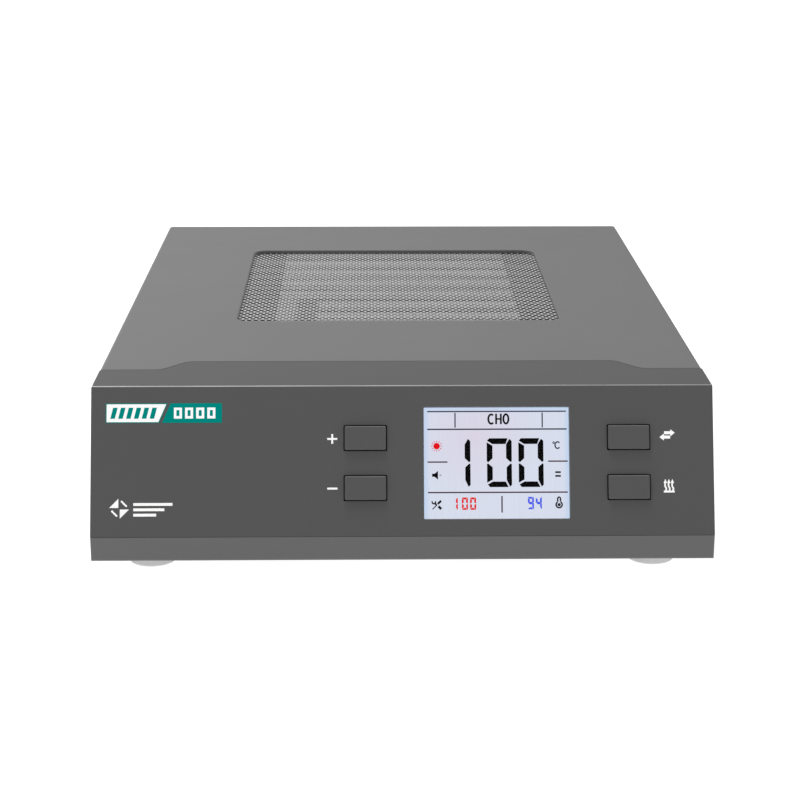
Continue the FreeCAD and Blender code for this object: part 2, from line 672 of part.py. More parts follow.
def heater():
    low = "top_z - 31"
    probe_hole = rod("tray_probe_hole", "x", "1.9", "10", ("-86", PROBE_Y, PROBE_Z))
    lead_holes = [rod(f"tray_lead_hole_{i}", "x", "2.4", "10", (x, y, "tube_z - 9"))
                  for i, (x, y) in enumerate((("-86", "window_mid - 74"), ("76", "window_mid - 74")))]
    open_tray("reflector_tray", "81", "77.5", low, "guard_low - tray_wall", [probe_hole, *lead_holes])
    keep(box("insulation_blanket", ("-80", "80"), ("window_mid - 77", "window_mid + 77"),
             ("top_z - 43.4", low)), "insulation_blanket")
    shield_holes = [rod(f"shield_hole_{i}", "z", "1.65", "10", (x, y, "top_z - 47"))
                    for i, (x, y) in enumerate(SHIELD_POSTS)]
    side_slots = [box(f"shield_slot_{i}", (f"{x} - 3", f"{x} + 3"), ("window_mid - 78", "window_mid - 48"),
                      ("top_z - 28", "top_z")) for i, x in enumerate(("-88", "88"))]
    open_tray("heat_shield", "88", "82", "top_z - 44.2", "top_z - 8", [*shield_holes, *side_slots])
    coils = []
    caps = []
    bars = []
    count = int(value("tube_count"))
    half_length = "tube_length / 2"
    for number in range(count):
        y = f"window_mid + {number - (count - 1) / 2} * tube_pitch"
        centre = (f"0 - {half_length}", y, "tube_z")
        glass = rod(f"tube_{number + 1}_outer", "x", "tube_radius", "tube_length", centre)
        bore = rod(f"tube_{number + 1}_bore", "x", "tube_radius - tube_wall", "tube_length + 2",
                   (f"0 - {half_length} - 1", y, "tube_z"))
        keep(cut(f"heater_tube_{number + 1}", glass, [bore]), f"heater_tube_{number + 1}")
        sleeve = rod(f"coil_{number + 1}_outer", "x", "3.4", "tube_length - 4",
                     (f"2 - {half_length}", y, "tube_z"))
        hollow = rod(f"coil_{number + 1}_bore", "x", "2.6", "tube_length", centre)
        coils.append(cut(f"coil_{number + 1}", sleeve, [hollow]))
        for side, start, stud in (("left", f"0 - {half_length} - 7", f"0 - {half_length} - 13"),
                                  ("right", half_length, f"{half_length} + 7")):
            cap = rod(f"cap_{side}_{number + 1}", "x", "tube_radius - 0.6", "7", (start, y, "tube_z"))
            pin = rod(f"stud_{side}_{number + 1}", "x", "1.5", "6", (stud, y, "tube_z"))
            caps.append(join(f"end_cap_{side}_{number + 1}", [cap, pin]))
    for side, low_x, high_x in (("left", f"0 - {half_length} - 11", f"0 - {half_length} - 10"),
                                ("right", f"{half_length} + 10", f"{half_length} + 11")):
        strip = box(f"bus_{side}_strip", (low_x, high_x), ("window_mid - 70", "window_mid + 70"),
                    ("tube_z - 4", "tube_z + 4"))
        holes = [rod(f"bus_{side}_hole_{i}", "x", "1.5", "6",
                     (f"{low_x} - 2", f"window_mid + {i - (count - 1) / 2} * tube_pitch", "tube_z"))
                 for i in range(count)]
        bars.append(cut(f"bus_{side}", strip, holes))
    keep(group("heating_coils", coils), "heating_coils")
    keep(group("tube_end_caps", caps), "tube_end_caps")
    keep(group("bus_bars", bars), "bus_bars")
    for side, wall, roof in (("left", ("-57.5", "-56.5"), ("-80.1", "-57.4")),
                             ("right", ("56.5", "57.5"), ("57.5", "80.1"))):
        along = ("window_mid - 76.6", "window_mid + 76.6")
        upright = box(f"bracket_{side}_wall", wall, along, (f"{low} + tray_wall", "top_z - 3.6"))
        lid = box(f"bracket_{side}_lid", roof, along, ("top_z - 4.4", "top_z - 3.6"))
        holes = [rod(f"bracket_{side}_hole_{i}", "x", "tube_radius + 0.15", "6",
                     (f"{wall[0]} - 2.5", f"window_mid + {i - (count - 1) / 2} * tube_pitch", "tube_z"))
                 for i in range(count)]
        if side == "left":
            holes.append(rod("bracket_probe_hole", "x", "1.9", "4", ("-59", PROBE_Y, PROBE_Z)))
        bracket = cut(f"tube_bracket_{side}", join(f"bracket_{side}_blank", [upright, lid]), holes)
        keep(bracket, f"tube_bracket_{side}")
    keep(rod("thermocouple_probe", "x", "1.5", "54", ("-92", PROBE_Y, PROBE_Z)), "thermocouple_probe")
    keep(box("probe_strap", ("-56", "-38"), ("window_mid - 76", "window_mid - 18"),
             ("top_z - 4.05", "top_z - 3.65")), "probe_strap")


# ---------------------------------------------------------------- controls

BUTTONS = {
    "plus": ("left_column", "upper_row"),
    "minus": ("left_column", "lower_row"),
    "swap": ("right_column", "upper_row"),
    "heat": ("right_column", "lower_row"),
}
STEM_END = "switch_top + 1.3"


def button(name, column, row):
    """Cap with a retaining flange behind the wall and a stem that meets the switch plunger."""
    part = body("button_" + name)

    def panel(grow):
        return ((f"{column} - button_wide / 2 - ({grow})", f"{column} + button_wide / 2 + ({grow})"),
                (f"0 - {row} - button_tall / 2 - ({grow})", f"0 - {row} + button_tall / 2 + ({grow})"))

    cap = face_sketch(part, "0 - bezel_wall - 0.6")
    rectangle(cap, *panel("0 - button_gap"))
    pad(part, cap, "bezel_wall + 0.6 + button_proud")
    soften(part, "0.6", lambda edge: straight(edge, FACE_NORMAL))
    crest = Vector(*(value(text) for text in on_face("0", "0", "button_proud")))
    soften(part, "0.45", lambda edge: all(near((vertex.Point - crest).dot(FACE_NORMAL), 0, 0.01)
                                          for vertex in edge.Vertexes))
    flange = face_sketch(part, "0 - bezel_wall - 1.4")
    rectangle(flange, *panel("0.8"))
    pad(part, flange, "1")
    stem = face_sketch(part, STEM_END)
    ring(stem, column, f"0 - {row}", "2")
    pad(part, stem, f"0 - bezel_wall - 1.2 - ({STEM_END})")
    keep(part, "button_" + name)
    plunger = face_rod("plunger_" + name, "1.7", column, row, ("switch_top - 0.9", STEM_END))
    keep(plunger, "plunger_" + name)


def controls():
    switches = []
    for name, (column, row) in BUTTONS.items():
        button(name, column, row)
        case = face_box(f"switch_{name}_case", (f"{column} - 3.1", f"{column} + 3.1"),
                        (f"{row} - 3.1", f"{row} + 3.1"), ("board_front", "switch_top"))
        bore = face_rod(f"switch_{name}_bore", "1.78", column, row, ("switch_top - 2.2", "switch_top + 1"))
        switches.append(cut(f"switch_{name}", case, [bore]))
    keep(group("tact_switches", switches), "tact_switches")
    board = face_box("control_board_blank", ("-41", "113"), ("3", "57"), ("0 - board_back", "board_front"))
    holes = [face_rod(f"board_hole_{i}", "1.65", x, down, ("0 - board_back - 1", "board_front + 1"))
             for i, (x, down) in enumerate(BOARD_POSTS)]
    keep(cut("control_board", board, holes), "control_board")
    # display: clear lens flush in the window, liquid crystal panel, backlight frame
    keep(face_box("display_lens", ("screen_left + 0.15", "screen_right - 0.15"),
                  ("screen_top + 0.15", "screen_bottom - 0.15"), ("-1.7", "-0.5")), "display_lens")
    keep(face_box("lcd_panel", ("screen_left + 0.25", "screen_right - 0.25"),
                  ("screen_top + 0.25", "screen_bottom - 0.25"), ("-3.6", "-1.8")), "lcd_panel")
    keep(face_box("lcd_module", ("screen_left - 5.5", "screen_right + 5.5"),
                  ("screen_top - 3", "screen_bottom + 3"), ("board_front + 0.1", "-3.6")), "lcd_module")
    buzzer = face_rod("buzzer_can", "6", "95", "30", ("0 - board_back - 9", "0 - board_back"))
    port = face_rod("buzzer_port", "1.2", "95", "30", ("0 - board_back - 10", "0 - board_back - 7"))
    keep(cut("buzzer", buzzer, [port]), "buzzer")


# ---------------------------------------------------------------- power electronics

SPACER_TALL = "8"
BOARD_Z = f"pan_top + {SPACER_TALL}"
POWER_TOP = f"{BOARD_Z} + board_thick"


def heatsink():
    """Extruded fins on a common web."""
    part = body("heatsink")
    web = sketch(part, "XY_Plane", POWER_TOP)
    rectangle(web, ("38", "70"), ("edge_y + 62", "edge_y + 65"))
    pad(part, web, "26")
    fin = sketch(part, "XY_Plane", POWER_TOP)
    rectangle(fin, ("38", "39.5"), ("edge_y + 64.5", "edge_y + 76"))
    repeat(part, pad(part, fin, "26"), "H_Axis", "30.5", 8)
    return keep(part, "heatsink")


def power_supply():
    spacers = [rod(f"spacer_power_{i}", "z", "3", SPACER_TALL, (x, y, "pan_top"))
               for i, (x, y) in enumerate(POWER_POSTS)]
    spacers += [rod(f"spacer_shield_{i}", "z", "3", "top_z - 44.2 - (pan_top)", (x, y, "pan_top"))
                for i, (x, y) in enumerate(SHIELD_POSTS)]
    bores = [rod(f"spacer_bore_{i}", "z", "1.6", "60", (x, y, "base_z"))
             for i, (x, y) in enumerate((*POWER_POSTS, *SHIELD_POSTS))]
    keep(group("spacers", [cut(f"spacer_{i}", post, [bore])
                           for i, (post, bore) in enumerate(zip(spacers, bores))]), "spacers")
    board = box("power_board_blank", ("-82", "82"), ("edge_y + 28", "edge_y + 88"), (BOARD_Z, POWER_TOP))
    holes = [rod(f"power_board_hole_{i}", "z", "1.65", "10", (x, y, f"{BOARD_Z} - 3"))
             for i, (x, y) in enumerate(POWER_POSTS)]
    keep(cut("power_board", board, holes), "power_board")
    core = box("transformer_core", ("-64", "-24"), ("edge_y + 45", "edge_y + 71"),
               (f"{POWER_TOP} + 3", f"{POWER_TOP} + 33"))
    bobbin = box("transformer_bobbin", ("-58", "-30"), ("edge_y + 38", "edge_y + 78"),
                 (POWER_TOP, f"{POWER_TOP} + 27"))
    keep(join("transformer", [core, bobbin]), "transformer")
    heatsink()
    tab = box("triac_tab", ("49", "59.4"), ("edge_y + 60.7", "edge_y + 62"),
              (f"{POWER_TOP} + 8", f"{POWER_TOP} + 23"))
    case = box("triac_case", ("49", "59.4"), ("edge_y + 57.5", "edge_y + 60.7"),
               (f"{POWER_TOP} + 8", f"{POWER_TOP} + 17"))
    legs = [box(f"triac_leg_{i}", (x, f"{x} + 0.8"), ("edge_y + 58.8", "edge_y + 59.4"),
                (POWER_TOP, f"{POWER_TOP} + 8.5")) for i, x in enumerate(("51.2", "53.8", "56.4"))]
    keep(join("triac", [tab, case, *legs]), "triac")
    block = box("terminal_block_case", ("-12", "24"), ("edge_y + 72", "edge_y + 84"),
                (POWER_TOP, f"{POWER_TOP} + 12"))
    ways = ("-7.5", "1.5", "10.5", "19.5")
    mouths = [rod(f"terminal_mouth_{i}", "y", "1.9", "7", (x, "edge_y + 78", f"{POWER_TOP} + 5"))
              for i, x in enumerate(ways)]
    screws = [rod(f"terminal_screw_{i}", "z", "2.2", "3", (x, "edge_y + 76", f"{POWER_TOP} + 10"))
              for i, x in enumerate(ways)]
    keep(cut("terminal_block", block, [*mouths, *screws]), "terminal_block")


# ---------------------------------------------------------------- rear fittings

def rear_sketch(part, out):
    """Sketch across the rear panel, at a distance behind it."""
    return sketch(part, "XZ_Plane", f"0 - back_y - ({out})")


def around(x, z, half_x, half_z):
    """X and Z limits of a rectangle centred on a point, whose height is from the fittings' centre."""
    level = f"fitting_z + {z}"
    return (f"{x} - {half_x}", f"{x} + {half_x}"), (f"{level} - {half_z}", f"{level} + {half_z}")


BLADES = (("inlet_x - 7", "3.2"), ("inlet_x", "7.2"), ("inlet_x + 7", "3.2"))


def inlet():
    """Appliance inlet with a fuse drawer under it, in one housing."""
    part = body("inlet_housing")
    flange = rear_sketch(part, "rear_proud")
    rectangle(flange, *around("inlet_x", "0", "15.5", "17.6"))
    pad(part, flange, "rear_proud")
    rear = value("back_y + rear_proud")
    soften(part, "1.2", lambda edge: straight(edge, Y_AXIS) or near(edge.BoundBox.YMin, rear))
    case = rear_sketch(part, "0")
    rectangle(case, *around("inlet_x", "0", "13.2", "15.3"))
    pad(part, case, "27")
    mouth = rear_sketch(part, "rear_proud + 1")
    left, right, low, high = "inlet_x - 12.1", "inlet_x + 12.1", "fitting_z - 3.2", "fitting_z + 13.6"
    outline(mouth, [(left, low), (right, low), (right, f"{high} - 4.5"), (f"{right} - 4.5", high),
                    (f"{left} + 4.5", high), (left, f"{high} - 4.5")])
    pocket(part, mouth, "17", backwards=True)
    drawer_way = rear_sketch(part, "rear_proud + 1")
    rectangle(drawer_way, *around("inlet_x", "(0 - 9.3)", "11", "3.8"))
    pocket(part, drawer_way, "26.5", backwards=True)
    slots = rear_sketch(part, "0 - 10")
    for x, z in BLADES:
        rectangle(slots, *around(x, z, "1", "2"))
    pocket(part, slots, "20", backwards=True)
    keep(part, "inlet_housing")
    blades = [box(f"blade_{i}", (f"{x} - 1", f"{x} + 1"), ("back_y - 34", "back_y - 1"),
                  (f"fitting_z + {z} - 2", f"fitting_z + {z} + 2")) for i, (x, z) in enumerate(BLADES)]
    keep(group("inlet_pins", blades), "inlet_pins")
    drawer = body("fuse_drawer")
    front = rear_sketch(drawer, "rear_proud - 0.2")
    rectangle(front, *around("inlet_x", "(0 - 9.3)", "10.65", "3.45"))
    pad(drawer, front, "24.5")
    cradle = sketch(drawer, "XY_Plane", "fitting_z")
    rectangle(cradle, ("inlet_x - 10.3", "inlet_x + 10.3"), ("back_y - 18.5", "back_y - 12.5"))
    pocket(drawer, cradle, "11.3")
    grip = sketch(drawer, "XY_Plane", "fitting_z")
    rectangle(grip, ("inlet_x - 4", "inlet_x + 4"), ("back_y + rear_proud - 2", "back_y + rear_proud"))
    pocket(drawer, grip, "7.2")
    keep(drawer, "fuse_drawer")
    keep(rod("fuse", "x", "2.5", "20", ("inlet_x - 10", "back_y - 15.5", "fitting_z - 8.6")), "fuse")


ROCKER_Y = "back_y - 2.2"


def rocker():
    """Power switch: snap-in housing and a two-position rocker on moulded pivots."""
    part = body("rocker_housing")
    flange = rear_sketch(part, "2")
    rectangle(flange, *around("rocker_x", "0", "7.6", "10.7"))
    pad(part, flange, "2")
    rear = value("back_y + 2")
    soften(part, "0.8", lambda edge: near(edge.BoundBox.YMin, rear) or straight(edge, Y_AXIS))
    case = rear_sketch(part, "0")
    rectangle(case, *around("rocker_x", "0", "6.3", "9.4"))
    pad(part, case, "17")
    well = rear_sketch(part, "3")
    rectangle(well, *around("rocker_x", "0", "5.3", "8.4"))
    pocket(part, well, "12", backwards=True)
    pivots = sketch(part, "YZ_Plane", "rocker_x")
    ring(pivots, ROCKER_Y, "fitting_z", "1.08")
    pocket(part, pivots, "12", both_ways=True)
    keep(part, "rocker_housing")
    key = body("power_rocker")
    profile = sketch(key, "YZ_Plane")
    profile.AttachmentOffset = Placement(Vector(), Rotation(Vector(0, 0, 1), -5))
    outline(profile, [("-2.4", "-2.8"), ("1", "-6.9"), ("3.9", "-6.9"), ("2.6", "0"), ("3.9", "6.9"),
                      ("1", "6.9"), ("-2.4", "2.8")])
    bind(profile, "AttachmentOffset.Base.x", ROCKER_Y)
    bind(profile, "AttachmentOffset.Base.y", "fitting_z")
    bind(profile, "AttachmentOffset.Base.z", "rocker_x")
    bind(profile, "AttachmentOffset.Rotation.Angle", "0 deg - rocker_tilt * 1 deg")
    pad(key, profile, "10", both_ways=True)
    studs = sketch(key, "YZ_Plane", "rocker_x")
    ring(studs, ROCKER_Y, "fitting_z", "1")
    pad(key, studs, "11.8", both_ways=True)
    keep(key, "power_rocker")


# ---------------------------------------------------------------- fasteners and leads

def screw(name, axis, sign, shank, spot, head="1.7"):
    """Pan-head screw: the head's seat at the spot, the shank along sign times the axis."""
    along = "xyz".index(axis)
    head_start = list(spot)
    stem_start = list(spot)
    if sign > 0:
        head_start[along] = f"{spot[along]} - {head}"
    else:
        stem_start[along] = f"{spot[along]} - {shank}"
    top = rod(name + "_head", axis, "2.9", head, head_start)
    stem = rod(name + "_shank", axis, "1.45", shank, stem_start)
    return join(name, [top, stem])


def fasteners():
    screws = [screw(f"foot_screw_{i}", "z", 1, "8", (x, y, "4.5")) for i, (x, y) in enumerate(FEET.values())]
    screws += [screw(f"bezel_screw_{i}", "z", 1, "5", (x, y, "base_z"), head="1")
               for i, (x, y) in enumerate(BEZEL_SCREWS)]
    screws += [screw(f"spacer_screw_{i}", "z", 1, "5", (x, y, "base_z"))
               for i, (x, y) in enumerate((*POWER_POSTS, *SHIELD_POSTS))]
    screws += [screw(f"power_screw_{i}", "z", -1, "4", (x, y, POWER_TOP))
               for i, (x, y) in enumerate(POWER_POSTS)]
    screws += [screw(f"panel_screw_{i}", "y", -1, "6", (x, "back_y", "base_z + 6.5"))
               for i, x in enumerate(PANEL_SCREWS)]
    for i, (x, down) in enumerate(BOARD_POSTS):
        head = face_rod(f"board_screw_{i}_head", "2.9", x, down, ("0 - board_back - 1.7", "0 - board_back"))
        stem = face_rod(f"board_screw_{i}_shank", "1.45", x, down, ("0 - board_back", "0 - board_back + 5.5"))
        screws.append(join(f"board_screw_{i}", [head, stem]))
    keep(group("machine_screws", screws), "machine_screws")
    low_heads = []
    for i, y in enumerate(COVER_SCREWS):
        for side, sign, x in (("left", 1, "0 - half_width"), ("right", -1, "half_width")):
            spot = (x, y, "base_z + 6.5")
            low_heads.append(screw(f"cover_screw_{side}_{i}", "x", sign, "5", spot, head="0.8"))
    keep(group("cover_screws", low_heads), "cover_screws")


def leads():
    low = "pan_top + 3"
    riser = f"{POWER_TOP} + 5"
    tabs = "back_y - 34"
    upper = "fitting_z + 3.2"
    lower = "fitting_z - 4"
    block_y = "edge_y + 79"
    turn_y = "edge_y + 98"
    live = [("inlet_x - 7", tabs, upper), ("inlet_x - 7", "back_y - 44", upper),
            ("rocker_x + 3", "back_y - 44", upper), ("rocker_x + 3", "back_y - 17", upper)]
    switched = [("rocker_x - 3", "back_y - 17", lower), ("rocker_x - 3", "back_y - 38", lower),
                ("rocker_x - 3", "back_y - 38", low), ("1.5", "back_y - 38", low),
                ("1.5", turn_y, low), ("1.5", turn_y, riser), ("1.5", block_y, riser)]
    neutral = [("inlet_x + 7", tabs, upper), ("inlet_x + 7", "back_y - 42", upper),
               ("inlet_x + 7", "back_y - 42", low), ("10.5", "back_y - 42", low),
               ("10.5", turn_y, low), ("10.5", turn_y, riser), ("10.5", block_y, riser)]
    bend = 4
    mains = Part.makeCompound([pipe(run, 1.3, bend) for run in (live, switched, neutral)])
    keep(feature("mains_leads", mains), "mains_leads")
    earth = [("inlet_x", tabs, "fitting_z + 7.2"), ("inlet_x", "back_y - 50", "fitting_z + 7.2"),
             ("inlet_x", "back_y - 50", "pan_top + 1.3"), ("inlet_x + 27", "back_y - 50", "pan_top + 1.3")]
    keep(feature("earth_lead", pipe(earth, 1.3, bend)), "earth_lead")
    runs = []
    for start, side in (("-7.5", "0 - "), ("19.5", "")):
        near_y, far_y, floor_z = "edge_y + 91", "edge_y + 102", "pan_top + 4"
        runs.append([(start, block_y, riser), (start, near_y, riser), (start, near_y, floor_z),
                     (f"{side}98", near_y, floor_z), (f"{side}98", far_y, floor_z),
                     (f"{side}98", far_y, "tube_z - 9"), (f"{side}81.5", "window_mid - 74", "tube_z - 9")])
    keep(feature("heater_leads", Part.makeCompound([pipe(run, 1.5, 3) for run in runs])), "heater_leads")
    # flat cable from the control board down to the power board
    cable = body("ribbon_cable")
    strip = sketch(cable, "YZ_Plane", "0")
    _, end_y, end_z = on_face("0", "40", "0 - board_back - 0.5")
    outline(strip, [(end_y, end_z), ("edge_y + 14", end_z), ("edge_y + 32", f"{POWER_TOP} + 2"),
                    ("edge_y + 32", POWER_TOP), ("edge_y + 33", POWER_TOP),
                    ("edge_y + 33", f"{POWER_TOP} + 2.4"), ("edge_y + 14.6", f"{end_z} + 1"),
                    (end_y, f"{end_z} + 1")])
    pad(cable, strip, "20", both_ways=True)
    keep(cable, "ribbon_cable")


# ---------------------------------------------------------------- build and export

top_cover()
base_pan()
rear_panel()
front_bezel()
for foot_name, (foot_x, foot_y) in FEET.items():
    foot(foot_name, foot_x, foot_y)
guard_mesh()
guard_frame()
heater()
controls()
power_supply()
inlet()
rocker()
fasteners()
leads()
doc.recompute()

for item in doc.Objects:
    if "Invalid" in item.State or "Error" in item.State:
        raise RuntimeError(f"{item.Name} did not build: {item.State}")
for item in nodes:
    if item.Shape.isNull() or not item.Shape.isValid() or not item.Shape.Solids:
        raise RuntimeError(f"{item.Label} has no sound solid")
if len({item.Label for item in nodes}) != len(nodes) or len(nodes) > 60:
    raise RuntimeError("node names repeat, or there are too many of them")

os.makedirs("parts", exist_ok=True)
for item in nodes:
    item.Shape.exportStep(os.path.join("parts", item.Label + ".step"))
print(len(nodes), "parts written")
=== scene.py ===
import math

import bmesh
import bpy
from mathutils import Matrix, Vector


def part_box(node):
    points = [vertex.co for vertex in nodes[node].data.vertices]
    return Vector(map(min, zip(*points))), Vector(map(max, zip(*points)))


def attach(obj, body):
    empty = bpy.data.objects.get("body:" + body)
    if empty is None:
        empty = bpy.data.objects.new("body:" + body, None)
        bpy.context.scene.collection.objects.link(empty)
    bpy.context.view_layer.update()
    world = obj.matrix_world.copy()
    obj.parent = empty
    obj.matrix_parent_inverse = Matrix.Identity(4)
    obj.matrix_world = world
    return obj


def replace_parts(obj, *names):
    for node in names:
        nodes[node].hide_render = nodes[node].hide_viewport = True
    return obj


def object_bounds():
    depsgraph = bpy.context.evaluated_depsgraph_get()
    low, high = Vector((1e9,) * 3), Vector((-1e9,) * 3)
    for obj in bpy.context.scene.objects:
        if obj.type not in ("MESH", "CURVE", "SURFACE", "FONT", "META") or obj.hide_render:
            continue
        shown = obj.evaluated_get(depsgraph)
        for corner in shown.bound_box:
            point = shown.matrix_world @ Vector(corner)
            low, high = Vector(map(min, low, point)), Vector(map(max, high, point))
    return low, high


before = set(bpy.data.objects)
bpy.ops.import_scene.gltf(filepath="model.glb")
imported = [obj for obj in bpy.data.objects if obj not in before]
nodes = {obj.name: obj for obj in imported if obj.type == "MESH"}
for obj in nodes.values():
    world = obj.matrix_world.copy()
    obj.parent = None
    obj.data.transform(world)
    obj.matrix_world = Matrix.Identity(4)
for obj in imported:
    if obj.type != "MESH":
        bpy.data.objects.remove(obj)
cad_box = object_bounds()

MM = 0.001
CASE = "case"

# ---------------------------------------------------------------- places on the case

bezel_low, bezel_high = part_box("front_bezel")
panel_low, panel_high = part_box("rear_panel")
FACE_RUN = 21.75 * MM        # how far the sloped face leans forward
FACE_DROP = 55.7 * MM        # its height
TOP_Z = bezel_high.z
FRONT_Y = bezel_low.y
EDGE_Y = FRONT_Y + FACE_RUN
BACK_Y = panel_high.y
BASE_Z = panel_low.z
SLOPE = math.hypot(FACE_RUN, FACE_DROP)
UP_SLOPE = Vector((0, FACE_RUN, FACE_DROP)) / SLOPE
OUTWARD = Vector((0, -FACE_DROP, FACE_RUN)) / SLOPE
FACE_ORIGIN = Vector((0, EDGE_Y, TOP_Z))
guard_low, guard_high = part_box("guard_mesh")
TUBE_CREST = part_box("heater_tube_1")[1].z
LIT_HALF = 56 * MM           # half the tubes' bright length
EDGE_REACH = 1.0 * MM        # how far the handled edge reaches back and down
SCREEN_LEFT, SCREEN_TOP = 8.2, 8.6   # corner of the lit picture on the face, mm
LENS_BACK = -1.7             # depth of the clear window's inner side, mm


def on_face(x, down, out):
    """Point on the sloped face, from millimetres: x across, down the slope from its top edge, outwards."""
    return FACE_ORIGIN + (Vector((x, 0, 0)) - down * UP_SLOPE + out * OUTWARD) * MM


def centre(name):
    low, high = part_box(name)
    return (low + high) / 2


# ---------------------------------------------------------------- node materials

def grey(level):
    return (level, level, level)


def opaque(level):
    """Grey with full alpha, as a colour socket takes it."""
    return (level, level, level, 1)


def around(colour, spread):
    """Darker and lighter neighbours of a colour, as ramp stops."""
    return [(0.3, tuple(c * (1 - spread) for c in colour)), (0.7, tuple(c * (1 + spread) for c in colour))]


class Shader:
    """Small helper that wires up one node material."""

    def __init__(self, name):
        self.material = bpy.data.materials.new(name)
        self.material.use_nodes = True
        self.tree = self.material.node_tree
        self.surface = self.tree.nodes["Principled BSDF"]
        texture = self.tree.nodes.new("ShaderNodeTexCoord")
        self.coordinates = texture.outputs["Object"]
        self.normal = texture.outputs["Normal"]

    def feed(self, socket, value):
        if isinstance(value, bpy.types.NodeSocket):
            self.tree.links.new(value, socket)
        else:
            socket.default_value = value

    def node(self, kind, **inputs):
        made = self.tree.nodes.new("ShaderNode" + kind)
        for key, value in inputs.items():
            self.feed(made.inputs[key], value)
        return made

    def set(self, **inputs):
        for key, value in inputs.items():
            self.feed(self.surface.inputs[key.replace("_", " ")], value)

    def constant(self, key, value):
        self.surface.inputs[key].default_value = value

    def noise(self, scale, detail=3.0, roughness=0.5, stretch=None):
        source = self.coordinates
        if stretch:
            mapping = self.node("Mapping", Vector=source)
            mapping.inputs["Scale"].default_value = stretch
            source = mapping.outputs["Vector"]
        return self.node("TexNoise", Vector=source, Scale=scale, Detail=detail,
                         Roughness=roughness).outputs["Fac"]

    def ramp(self, factor, stops):
        made = self.node("ValToRGB", Fac=factor)
        elements = made.color_ramp.elements
        while len(elements) < len(stops):
            elements.new(0.5)
        for element, (place, colour) in zip(elements, stops):
            element.position = place
            element.color = (*colour, 1)
        return made.outputs["Color"]

    def range(self, factor, low, high, start=0.0, end=1.0):
        made = self.node("MapRange", Value=factor)
        for key, number in (("From Min", start), ("From Max", end), ("To Min", low), ("To Max", high)):
            made.inputs[key].default_value = number
        return made.outputs["Result"]

    def bump(self, height, strength, distance):
        made = self.node("Bump", Height=height, Strength=strength, Distance=distance)
        self.set(Normal=made.outputs["Normal"])

    def mix(self, factor, first, second):
        made = self.tree.nodes.new("ShaderNodeMix")
        made.data_type = "RGBA"
        for socket, value in zip((made.inputs[0], made.inputs[6], made.inputs[7]), (factor, first, second)):
            self.feed(socket, value)
        return made.outputs[2]

    def maths(self, kind, *values):
        made = self.tree.nodes.new("ShaderNodeMath")
        made.operation = kind
        for socket, value in zip(made.inputs, values):
            self.feed(socket, value)
        return made.outputs["Value"]

    def product(self, first, *others):
        for value in others:
            first = self.maths("MULTIPLY", first, value)
        return first

    def split(self, vector):
        return self.node("SeparateXYZ", Vector=vector).outputs


def coated(name, colour, spread=0.03, roughness=(0.42, 0.5), grain=0.5, strength=0.12, specular=0.4):
    """Painted, moulded or otherwise evenly coated surface with a fine grain, in millimetres."""
    made = Shader(name)
    made.set(Base_Color=made.ramp(made.noise(18.0, 4.0), around(colour, spread)))
    made.set(Roughness=made.range(made.noise(60.0, 3.0), *roughness))
    made.constant("Specular IOR Level", specular)
    made.bump(made.noise(1 / (grain * MM), 2.0), strength, 0.02 * MM)
    return made.material


def metal(name, colour, roughness=(0.25, 0.4), stretch=(1, 1, 1), grain=900.0, strength=0.1):
    """Bare metal with rolling or brushing marks along the direction that stretch leaves long."""
    made = Shader(name)
    marks = made.noise(grain, 3.0, 0.6, stretch)
    made.set(Base_Color=made.ramp(made.noise(35.0), around(colour, 0.05)))
    made.constant("Metallic", 1.0)
    made.set(Roughness=made.range(marks, *roughness))
    made.bump(marks, strength, 0.01 * MM)
    return made.material


def cover_coat(level):
    """Grey powder coat. The window's side rims are set lighter, to take off the recess's shading."""
    made = Shader("cover_powder_coat")
    tone = made.ramp(made.noise(18.0, 4.0), around(grey(level), 0.012))
    # Painted light: inside the window's recess the side walls are set lighter, the left wall (facing +X) at
    # 2.4 times the coat's level and the right wall at 1.2 times, to take away the recess's shade.
    facing = made.split(made.normal)["X"]
    sideways = made.range(made.maths("ABSOLUTE", facing), 0, 1, 0.7, 0.95)
    window = made.range(made.maths("ABSOLUTE", made.split(made.coordinates)["X"]), 1, 0,
                        guard_high.x + 2 * MM, guard_high.x + 4 * MM)
    rim = made.product(sideways, window)
    lighter = made.mix(made.range(facing, 0, 1, -1, 1), opaque(1.2 * level), opaque(2.4 * level))
    made.set(Base_Color=made.mix(rim, tone, lighter))
    made.set(Roughness=made.range(made.noise(60.0, 3.0), 0.42, 0.48))
    made.constant("Specular IOR Level", 0.15)
    made.bump(made.noise(1 / (0.35 * MM), 2.0), 0.10, 0.02 * MM)
    return made.material


